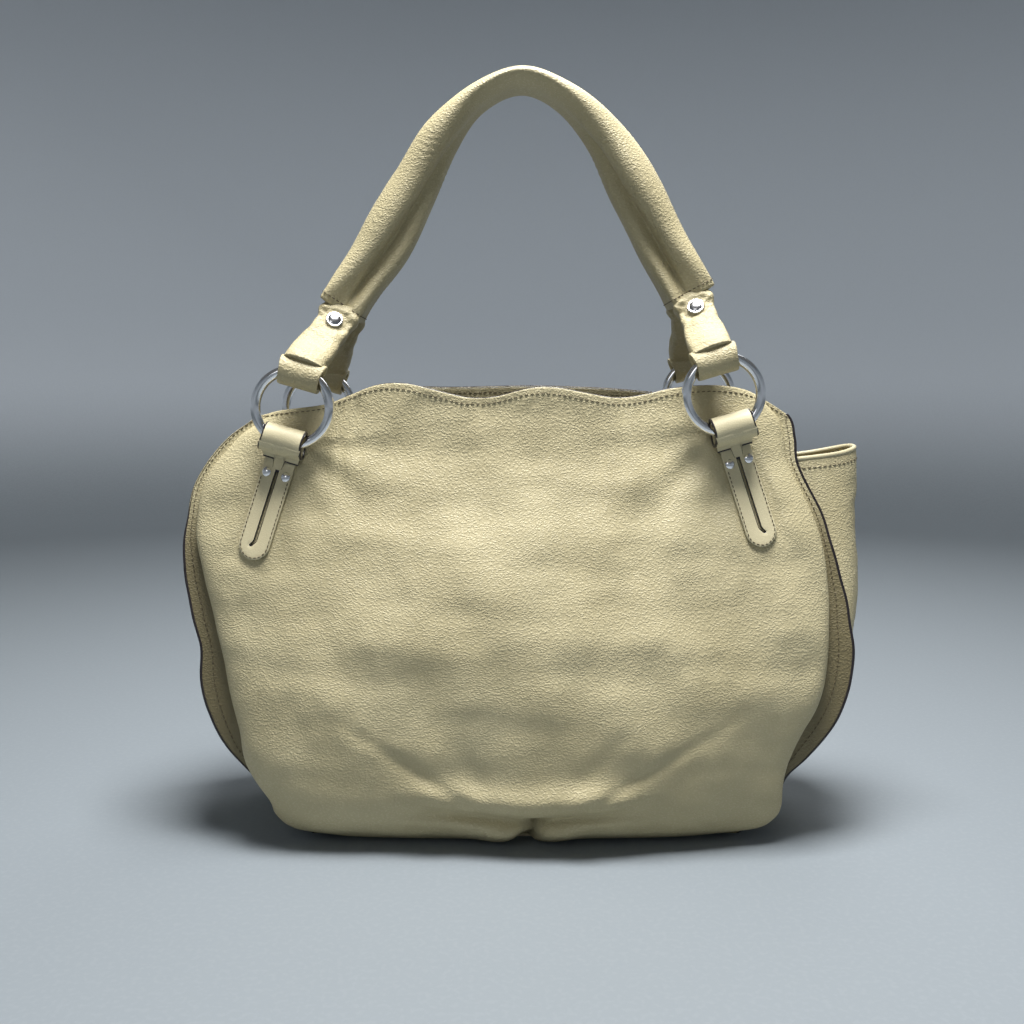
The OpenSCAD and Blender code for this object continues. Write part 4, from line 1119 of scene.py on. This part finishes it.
# %% The paddle
def build_paddle(name, side, back, node):
    """Washer-shaped sheet between the slot's outline and the tab's outline."""
    s0, e0 = outline(SLOT_TOP, SLOT_END, 0.8)
    s1, e1 = outline(SHOULDER - 1, TAB_LONG, TAB_HALF)
    e0 = e0 + side * 2.2 * smooth(64, 68.5, s0)
    t = np.array([0, 0.05, 0.2, 0.4, 0.6, 0.8, 0.93, 1.0])[:, None]
    s, e = mix(s0, s1, t), mix(e0, e1, t)
    crown = 2.25 - 0.45 * np.abs(2 * t - 1) ** 5
    top = mirrored(tab_point(side, s, e, crown), back)
    under = mirrored(tab_point(side, s, e, 0 * t), back)
    piece = ring_sheet(name, top, under, [SMOOTH, EDGE_PAINT, RAW_EDGE])
    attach(piece, "bag")
    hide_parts(node)
    ring_s, ring_e = outline(SHOULDER, TAB_LONG - 1.2, TAB_HALF - 1.2)
    keep = slice(20, 132)
    line = mirrored(tab_point(side, ring_s[keep], ring_e[keep], 2.35), back)
    out = np.broadcast_to(np.array([0, 1.0 if back else -1.0, 0]), line.shape)
    stitches(name + "_stitches", [stitch_row(line, out, pitch=2.9, thick=0.6)], "bag")


print("paddle maker ready")

# %% [markdown]
# ## Rolls
# The leather turns right round the ring. A torus section with rounded corners is carried round the
# axis of the tab and gets a little wider on the side where the ring curves away.

# %% Rolls round the rings
def roll_section():
    """Section of the roll's wall, along its axis and away from it, rounded at its ends."""
    w = np.linspace(0, 2 * math.pi, 28, endpoint=False)
    along_axis = signed_power(np.cos(w), 0.35)
    radius = (ROLL_R + CAVITY_R) / 2 + (ROLL_R - CAVITY_R) / 2 * signed_power(np.sin(w), 0.35)
    return along_axis, radius


def roll_rings(side, top):
    """Wall section carried round the roll's axis, wider where the ring curves away."""
    along_axis, radius = roll_section()
    a = np.linspace(0, 2 * math.pi, ROLL_STEPS, endpoint=False)[:, None]
    axis = np.array([math.cos(TAB_LEAN), 0, side * math.sin(TAB_LEAN)])
    down = np.array([side * math.sin(TAB_LEAN), 0, -math.cos(TAB_LEAN)])
    far = down if not top else -down
    front = np.array([0, -1.0, 0])
    half = ROLL_HALF + 1.6 * np.clip(np.cos(a), 0, None)
    dent = 0.25 * np.sin(3 * a + 1) * np.cos(along_axis * 2)
    r = radius[None] + dent * (radius[None] > 8)
    return (roll_place(side, top) + axis * (along_axis[None] * half)[..., None]
            + far * (np.cos(a) * r)[..., None] + front * (np.sin(a) * r)[..., None])


def end_paint(rings):
    """Material numbers that paint the two end faces of a roll."""
    along_axis, _ = roll_section()
    nearly_end = np.abs((along_axis + np.roll(along_axis, -1)) / 2) > 0.93
    return np.tile(nearly_end.astype(int), rings)


def build_roll(name, side, back):
    """Roll of the lower tab, with its painted ends."""
    rings = mirrored(roll_rings(side, False), back)
    piece = tube(name, rings, [SMOOTH, EDGE_PAINT], closed=True, face_index=end_paint(ROLL_STEPS))
    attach(piece, "bag")


print("roll maker ready")

# %% [markdown]
# ## Apron
# Between roll and panel the leather falls in a short apron with painted shoulders and a neck. It starts
# inside the skin of the roll, so no line shows where they meet.

# %% The apron and the tabs
def build_apron(name, side, back):
    """Leather from the roll's front down to the shoulders, with a neck that runs into the paddle."""
    e = np.linspace(-1, 1, APRON_COLS)[None]
    t = np.linspace(0, 1, APRON_ROWS)[:, None]
    wide = mix(ROLL_HALF + 0.4, ROLL_HALF - 1.2, t)
    across = e * wide
    neck = smooth(-4.4, -3.2, across * -side) * (1 - smooth(1.9, 3.1, across * -side)) + 0 * t
    end = mix(SHOULDER + 0.2, SHOULDER + 7.5, neck)
    s = mix(2.0, end, t)
    x, z = tab_xz(side, s, across)
    on_roll = RING_Y + np.sqrt(np.clip(ROLL_R**2 - s**2, 0, None)) + mix(-0.4, 0.3, smooth(0, 0.2, t))
    land = face_depth(x, z, -1) + 0.3 + mix(3.4, 1.9, neck * smooth(0.55, 1, t))
    y = -mix(on_roll, land, smooth(6.5, SHOULDER - 0.3, s))
    outer = np.stack(np.broadcast_arrays(x, y, z), -1)
    inner = outer + np.array([0, 1.5, 0])
    plain_rows = APRON_ROWS - 1 - PAINTED_ROWS
    paint = np.repeat([0] * plain_rows + [1] * PAINTED_ROWS, APRON_COLS - 1)
    piece = sheet(name, mirrored(outer, back), mirrored(inner, back), [SMOOTH, EDGE_PAINT], pushed=0.15,
                  face_index=paint)
    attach(piece, "bag")


for side, label in ((-1, "left"), (1, "right")):
    for back, face in ((False, "front"), (True, "back")):
        place = f"{face}_{label}"
        build_paddle(f"tab_paddle_{place}", side, back, f"ring_tab_{place}")
        build_roll(f"tab_roll_{place}", side, back)
        build_apron(f"tab_apron_{place}", side, back)
print("ring tabs: 4")

# %% [markdown]
# ## Straps from the rings to the handle
# Four soft straps loop round the upper ends of the rings and narrow to where a flat rivet pins them.
# Each is a section, a rounded rectangle, carried along a Bezier path. The pinch, the ring of puckered
# leather round the rivet and fine cross wrinkles are added along the section's own normal.

# %% Strap path and section
FOOT_X, FOOT_Z = {-1: -112.5, 1: 113.5}, {-1: 336.0, 1: 344.0}
RIVET_AT = 0.8


def strap_path(side, f):
    """Middle of a strap for f from 0 at its roll to 1 at the handle, with across and out vectors."""
    start = roll_place(side, True) + 5.6 * np.array([-side * math.sin(TAB_LEAN), 0, math.cos(TAB_LEAN)])
    end = np.array([FOOT_X[side], -13.0, FOOT_Z[side]])
    b = start + 12 * np.array([-side * math.sin(TAB_LEAN), 0.5, 0.8])
    c = end - 16 * np.array([-side * 0.35, 0.2, 0.95])

    def at(t):
        t = t[:, None]
        return (1 - t)**3 * start + 3 * (1 - t)**2 * t * b + 3 * (1 - t) * t**2 * c + t**3 * end

    way = at(f + 0.01) - at(f - 0.01)
    lean = mix(TAB_LEAN, math.radians(28), f)
    level = np.stack([np.cos(lean), 0 * lean, side * np.sin(lean)], -1)
    out = unit(np.cross(level, way))
    across = unit(np.cross(way, out))
    return at(f), across, out


print("rivet of the left strap at:", strap_path(-1, np.array([RIVET_AT]))[0][0].round(1))

# %% [markdown]
# ## Pinched leather
# The rivet pulls the strap in, so the leather puckers round it in short rays. The rays are a cosine of
# the angle round the rivet that fades with the distance.

# %% Strap sections
def strap_rings(side):
    """Rounded rectangle sections with the pinch, the puckers and the wrinkles."""
    f = np.linspace(0, 1.1, 80)
    middle, across, out = strap_path(side, f)
    rivet = strap_path(side, np.array([RIVET_AT]))[0]
    wide = curve([(0, 25.5), (0.35, 25.4), (0.6, 23.8), (0.8, 23), (0.96, 25.5), (1.1, 20)], f)[:, None] / 2
    thick = curve([(0, 16.9), (0.12, 15.6), (0.3, 12.8), (0.5, 11.6), (0.8, 11), (0.98, 11), (1.1, 2.5)],
                  f)[:, None] / 2
    w = np.linspace(0, 2 * math.pi, 64, endpoint=False)[None]
    e = wide * signed_power(np.cos(w), 0.62)
    t = thick * signed_power(np.sin(w), 0.62)
    face = signed_power(np.sin(w), 0.4)
    up = ((middle - rivet) ** 2).sum(1, keepdims=True) ** 0.5 * np.sign(f - RIVET_AT)[:, None]
    away, angle = np.hypot(e, up), np.arctan2(up, e)
    pucker = (-1.1 * np.exp(-((away - 8.2) / 2.4) ** 2) + 0.9 * np.exp(-((away - 14) / 5) ** 2)
              + 0.75 * np.exp(-(away / 6.5) ** 2)
              + 0.42 * np.cos(11 * angle + side) * np.exp(-((away - 12) / 4.5) ** 2))
    run = up + 0 * e
    cross = 0.11 * np.sin(2 * math.pi * run / 4.6 + 0.25 * e) * (1 - smooth(0.45, 0.7, f))[:, None]
    soft = 0.5 * ripple(e, run, 20, 26, 81 + side)
    t = t + face * (pucker + cross + soft)
    e = e + 0.5 * np.cos(w) * ripple(run, run * 0, 16, 16, 83)
    return middle[:, None] + across[:, None] * e[..., None] + out[:, None] * t[..., None]


print("strap sections ready")

# %% [markdown]
# ## Straps and their rolls
# Each strap ends in a roll like the one on the tab, turned upside down. Body and roll are two closed
# tubes that touch, which is simpler than one branching skin and looks the same.

# %% Straps
def build_strap(side, back, place):
    """Strap body and its roll, which ride with the handle's lower ends."""
    body = tube(f"strap_body_{place}", mirrored(strap_rings(side), back), [STRAP])
    roll = tube(f"strap_roll_{place}", mirrored(roll_rings(side, True), back), [STRAP], closed=True)
    for piece in (body, roll):
        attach(piece, "handle_ends")
    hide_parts(f"strap_{place}")


print("strap maker ready")

# %% [markdown]
# ## Rivet caps
# A flat disc would mirror one lamp and turn white, so each cap is a low dome with a groove near its rim,
# turned about the direction in which its strap faces.

# %% Rivet caps and the four straps
CAP_SEAT = 6.25


def build_cap(side, back, place):
    """Domed cap with a groove near its rim: a profile turned about the strap's outward direction."""
    middle, across, out = strap_path(side, np.array([RIVET_AT]))
    radius = np.array([0.4, 5.5, 5.5, 5.2, 4.7, 4.3, 3.8, 3.0, 2.0, 1.0, 0.2])[:, None, None]
    height = np.array([-0.6, -0.6, 0.6, 0.95, 1.0, 0.8, 1.15, 1.5, 1.75, 1.88, 1.9])[:, None, None]
    turn = np.linspace(0, 2 * math.pi, 41)[:-1, None]
    way = across * np.cos(turn) + np.cross(out, across) * np.sin(turn)
    cap = tube(f"rivet_cap_{place}", mirrored(middle + out * (CAP_SEAT + height) + way * radius, back),
               [RIVET])
    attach(cap, "handle_ends")
    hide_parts(f"strap_rivet_{place}")


STRAP = leather("strap_leather", srgb(198, 187, 150), srgb(150, 138, 102), 820.0, 0.00038, 0.40)
for side, label in ((-1, "left"), (1, "right")):
    for back, face in ((False, "front"), (True, "back")):
        build_strap(side, back, f"{face}_{label}")
        build_cap(side, back, f"{face}_{label}")
print("straps: 4")

# %% [markdown]
# ## Handle
# The handle is one padded roll of leather. Over the top it is flat and thin. Down each leg its two
# edges curl together, so a deep groove runs from the rivets up the leg and fades on the inner side. A
# subdivided tube with sculpted strokes could do this, but here the section itself turns with the
# length, so groove, lobes and taper come from a few short tables.

# %% Handle shape
HANDLE_LINE = [(-113.5, 338.2), (-101, 357), (-87, 378), (-68, 412), (-47, 448), (-24, 472), (5, 483),
               (34, 471), (59, 446), (80, 411), (97, 378), (106, 361.5), (114.3, 346.2)]
HALF_HIGH = [(0, 14.6), (0.06, 15.4), (0.14, 16.8), (0.24, 15.5), (0.34, 11.8), (0.43, 7.4), (0.5, 5.9),
             (0.58, 7.2), (0.68, 12.4), (0.78, 15.8), (0.88, 16.6), (0.95, 15.2), (1, 14.6)]
HALF_DEEP = [(0, 19.8), (0.06, 19.8), (0.2, 20.4), (0.32, 22), (0.42, 23.4), (0.5, 24), (0.6, 23.2),
             (0.72, 21.5), (0.86, 20), (0.94, 19.8), (1, 19.8)]
GROOVE_TURN = [(0, 98), (0.08, 112), (0.2, 134), (0.32, 158), (0.42, 180), (0.6, 180), (0.7, 156),
               (0.82, 134), (0.92, 114), (1, 98)]
GROOVE_DEEP = [(0, 0.3), (0.06, 0.48), (0.2, 0.46), (0.3, 0.34), (0.4, 0.2), (0.5, 0.05), (0.6, 0.2),
               (0.7, 0.4), (0.84, 0.5), (0.94, 0.48), (1, 0.3)]
HANDLE_RINGS, HANDLE_SIDES = 300, 112


print("handle table points:", len(HANDLE_LINE))

# %% [markdown]
# ## Handle sections
# Each section is an oval that is pulled towards its middle at the groove. The angle of the groove turns
# along the leg, so the two rolls of leather seem to twist round each other.

# %% Handle sections
def handle_rings(first=0.0, last=1.0, count=HANDLE_RINGS, puff=0.0):
    """Sections along the handle: an oval pulled towards its middle at the groove, then gently wrinkled."""
    line = np.array(HANDLE_LINE, float)
    knots = np.arange(len(line))
    fine = np.linspace(0, len(line) - 1, 600)
    path = np.stack([curve(np.stack([knots, line[:, 0]], 1), fine),
                     curve(np.stack([knots, line[:, 1]], 1), fine)], 1)
    run = np.concatenate([[0], np.cumsum(np.linalg.norm(np.diff(path, axis=0), axis=1))])
    f = np.linspace(first, last, count)
    middle = np.stack([np.interp(f * run[-1], run, path[:, k]) for k in (0, 1)], 1)
    ahead = np.stack([np.interp(np.clip(f + 0.012, 0, 1) * run[-1], run, path[:, k]) for k in (0, 1)], 1)
    behind = np.stack([np.interp(np.clip(f - 0.012, 0, 1) * run[-1], run, path[:, k]) for k in (0, 1)], 1)
    way = unit(ahead - behind)
    f = f[:, None]
    w = np.linspace(0, 2 * math.pi, HANDLE_SIDES, endpoint=False)[None]
    turn = np.radians(curve(GROOVE_TURN, f))
    off = (w - turn + math.pi) % (2 * math.pi) - math.pi
    groove = curve(GROOVE_DEEP, f)
    lips = 0.10 * groove * np.exp(-((np.abs(off) - 0.95) / 0.5) ** 2)
    pull = 1 - groove * np.exp(-(off / 0.34) ** 2) + lips
    length = f * run[-1]
    leg = 1 - smooth(0.30, 0.44, f) * (1 - smooth(0.56, 0.70, f))
    cross = np.sin(2 * math.pi * (length + 3.2 * ripple(length, w * 14, 34, 22, 91)) / 4.0)
    patchy = smooth(-0.2, 1.0, ripple(length, w * 16, 50, 26, 92))
    pinch = np.exp(-(np.minimum(f, 1 - f) * run[-1] / 9) ** 2)
    fold = 0.9 * np.cos(7 * w + 2 * f) * pinch
    skin = leg * (0.13 * cross * patchy + 0.5 * ripple(length, w * 15, 80, 36, 93)) + fold + puff
    high = (curve(HALF_HIGH, f) + skin) * pull
    deep = (curve(HALF_DEEP, f) + skin) * pull
    open_leg = smooth(0.0, 0.13, np.minimum(f, 1 - f))
    n = high * signed_power(np.cos(w), mix(0.6, 1.0, open_leg))
    b = -deep * signed_power(np.sin(w), mix(0.6, 0.85, open_leg))
    out = np.stack([way[:, 1], -way[:, 0]], 1)
    return np.stack([middle[:, 0:1] - n * out[:, 0:1], b, middle[:, 1:2] - n * out[:, 1:2]], -1)


print("handle sections:", handle_rings().shape)

# %% [markdown]
# ## The padded handle
# The handle is filled, so its ends are drawn in and rounded, and a ring of stitches goes round each.

# %% The padded handle
def close_ends(rings, steps=5):
    """Stack with both ends rounded in: the last sections shrink towards their middles."""
    t = np.linspace(0, 1, steps + 1)[1:, None, None]
    size = np.cos(t * math.pi / 2 * 0.97)
    reach = 1.6 * np.sin(t * math.pi / 2)

    def cap(ring, behind):
        centre = ring.mean(0)
        return centre + (ring - centre) * size + unit(centre - behind.mean(0)) * reach

    return np.concatenate([cap(rings[0], rings[4])[::-1], rings, cap(rings[-1], rings[-5])])


def build_handle():
    """Padded handle, with a ring of stitches round each end."""
    piece = tube("handle_roll", close_ends(handle_rings()), [STRAP])
    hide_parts("handle_cover", "handle_padding", "handle_crease_left", "handle_crease_right")
    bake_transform(piece)
    rows = []
    for ring in (handle_rings(0.008, 0.012, 3, puff=0.2)[1], handle_rings(0.988, 0.992, 3, puff=0.2)[1]):
        closed = np.concatenate([ring, ring[:1]])
        centre = ring.mean(0)
        rows.append(stitch_row(closed, unit(closed - centre), pitch=3.2, thick=0.6))
    stitches("handle_end_stitches", rows, "handle_ends")


build_handle()
print("handle made")

# %% [markdown]
# ## Metal, zip and board
# Rings, rivets, snap and zip are hard parts, and their engineering meshes are right already. They keep
# their shape and only get their finish, by filling the material slots of their objects.

# %% Finishes for the hard parts
FINISH = {"ring_front": CHROME, "ring_back": CHROME, "tab_rivets": CHROME, "snap": CHROME,
          "zip_teeth": CHROME, "zip_slider": CHROME, "zip_pull": CHROME, "zip_tape": ZIP_TAPE,
          "zip_welt": SMOOTH, "base_board": BOARD}
dressed = 0
for node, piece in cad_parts.items():
    for start, material in FINISH.items():
        if node.startswith(start):
            piece.data.materials.clear()
            piece.data.materials.append(material)
            dressed += 1
print("hard parts dressed:", dressed)

# %% [markdown]
# ## Camera, floor and lamps
# The camera stands a little above the bag's middle. The lamps are large and soft, one overhead and
# in front, one weak from the side, so the grain shows without hard shadows.

# %% Camera
def set_camera():
    """37 mm lens, 0.7 m in front of the bag, looking a little down."""
    data = bpy.data.cameras.new("camera")
    data.lens, data.sensor_width = 37.0, 36.0
    camera = bpy.data.objects.new("camera", data)
    camera.location = (-0.002, -0.700, 0.280)
    camera.rotation_euler = (math.radians(90 - 6.1), 0, 0)
    bpy.context.scene.collection.objects.link(camera)
    bpy.context.scene.camera = camera


set_camera()
print("camera lens:", bpy.context.scene.camera.data.lens, "mm")

# %% [markdown]
# ## Floor
# A paper sweep has no horizon. Here it is turned into a shallow bowl, so the bag stands on the same
# pale paper from every side, and the wall is a little lighter than the floor.

# %% Floor and backdrop
def build_stage():
    """Floor that curves up into a low wall all round: a profile of radius and height, turned once."""
    turn = np.linspace(0, 2 * math.pi, 97)[:-1]
    bend = np.linspace(0, math.pi / 2, 15)[1:]
    radius = np.concatenate([np.linspace(0.002, 1.7, 24), 1.7 + 0.5 * np.sin(bend), [2.2]])[:, None]
    height = np.concatenate([np.zeros(24), 0.5 * (1 - np.cos(bend)), [1.6]])[:, None]
    grid = np.stack(np.broadcast_arrays(radius * np.cos(turn), radius * np.sin(turn), height), -1)
    material, tree, shader, vector = start_material("paper")
    noise = add(tree, "ShaderNodeTexNoise", Vector=vector, Scale=300.0, Detail=3.0)
    fleck = remap(tree, noise.outputs["Fac"], 0.3, 0.7, -0.03, 0.03)
    rise = remap(tree, add(tree, "ShaderNodeSeparateXYZ", Vector=vector).outputs["Z"], 0.0, 0.35)
    tone = mix_colour(tree, calc(tree, "ADD", rise, fleck), srgb(128, 135, 140), srgb(196, 203, 210))
    tree.links.new(tone, shader.inputs["Base Color"])
    shader.inputs["Roughness"].default_value = 0.7
    floor = make_object("paper_sweep", grid.reshape(-1, 3) / MM, grid_quads(39, 96, wrap=True), [material],
                        closed=False)


build_stage()
print("floor made")

# %% [markdown]
# ## Lamps
# One soft lamp hangs almost overhead and grazes the belly, which brings out the folds. The others and
# the sky only keep the shadows open.

# %% Lamps
def add_lamp(name, place, target, size, power):
    """Square area lamp at place, in metres, turned towards target."""
    data = bpy.data.lights.new(name, "AREA")
    data.size, data.energy = size, power
    lamp = bpy.data.objects.new(name, data)
    lamp.location = place
    way = np.array(target) - np.array(place)
    lamp.rotation_euler = (math.acos(-way[2] / np.linalg.norm(way)), 0,
                           math.atan2(way[0], -way[1]) + math.pi)
    bpy.context.scene.collection.objects.link(lamp)


def light_scene():
    """Soft overhead key, weak fill from the left, a lamp behind and a dim sky, paler overhead."""
    add_lamp("key", (0.05, -0.17, 1.35), (0, -0.02, 0.2), 0.5, 35)
    add_lamp("fill", (-0.5, -1.2, 1.0), (0, 0, 0.2), 0.5, 1.2)
    add_lamp("rim", (0.4, 1.0, 1.3), (0, 0, 0.25), 0.8, 6)
    world = bpy.data.worlds.new("studio")
    world.use_nodes = True
    tree = world.node_tree
    background = tree.nodes["Background"]
    way = add(tree, "ShaderNodeSeparateXYZ", Vector=add(tree, "ShaderNodeTexCoord").outputs["Generated"])
    sky = mix_colour(tree, remap(tree, way.outputs["Z"], -0.15, 0.55), (0.10, 0.11, 0.12, 1),
                     (0.95, 0.98, 1.0, 1))
    tree.links.new(sky, background.inputs["Color"])
    background.inputs["Strength"].default_value = 0.12
    bpy.context.scene.world = world
    bpy.context.scene.view_settings.view_transform = "Standard"


light_scene()
print("lamps:", len(bpy.data.lights))
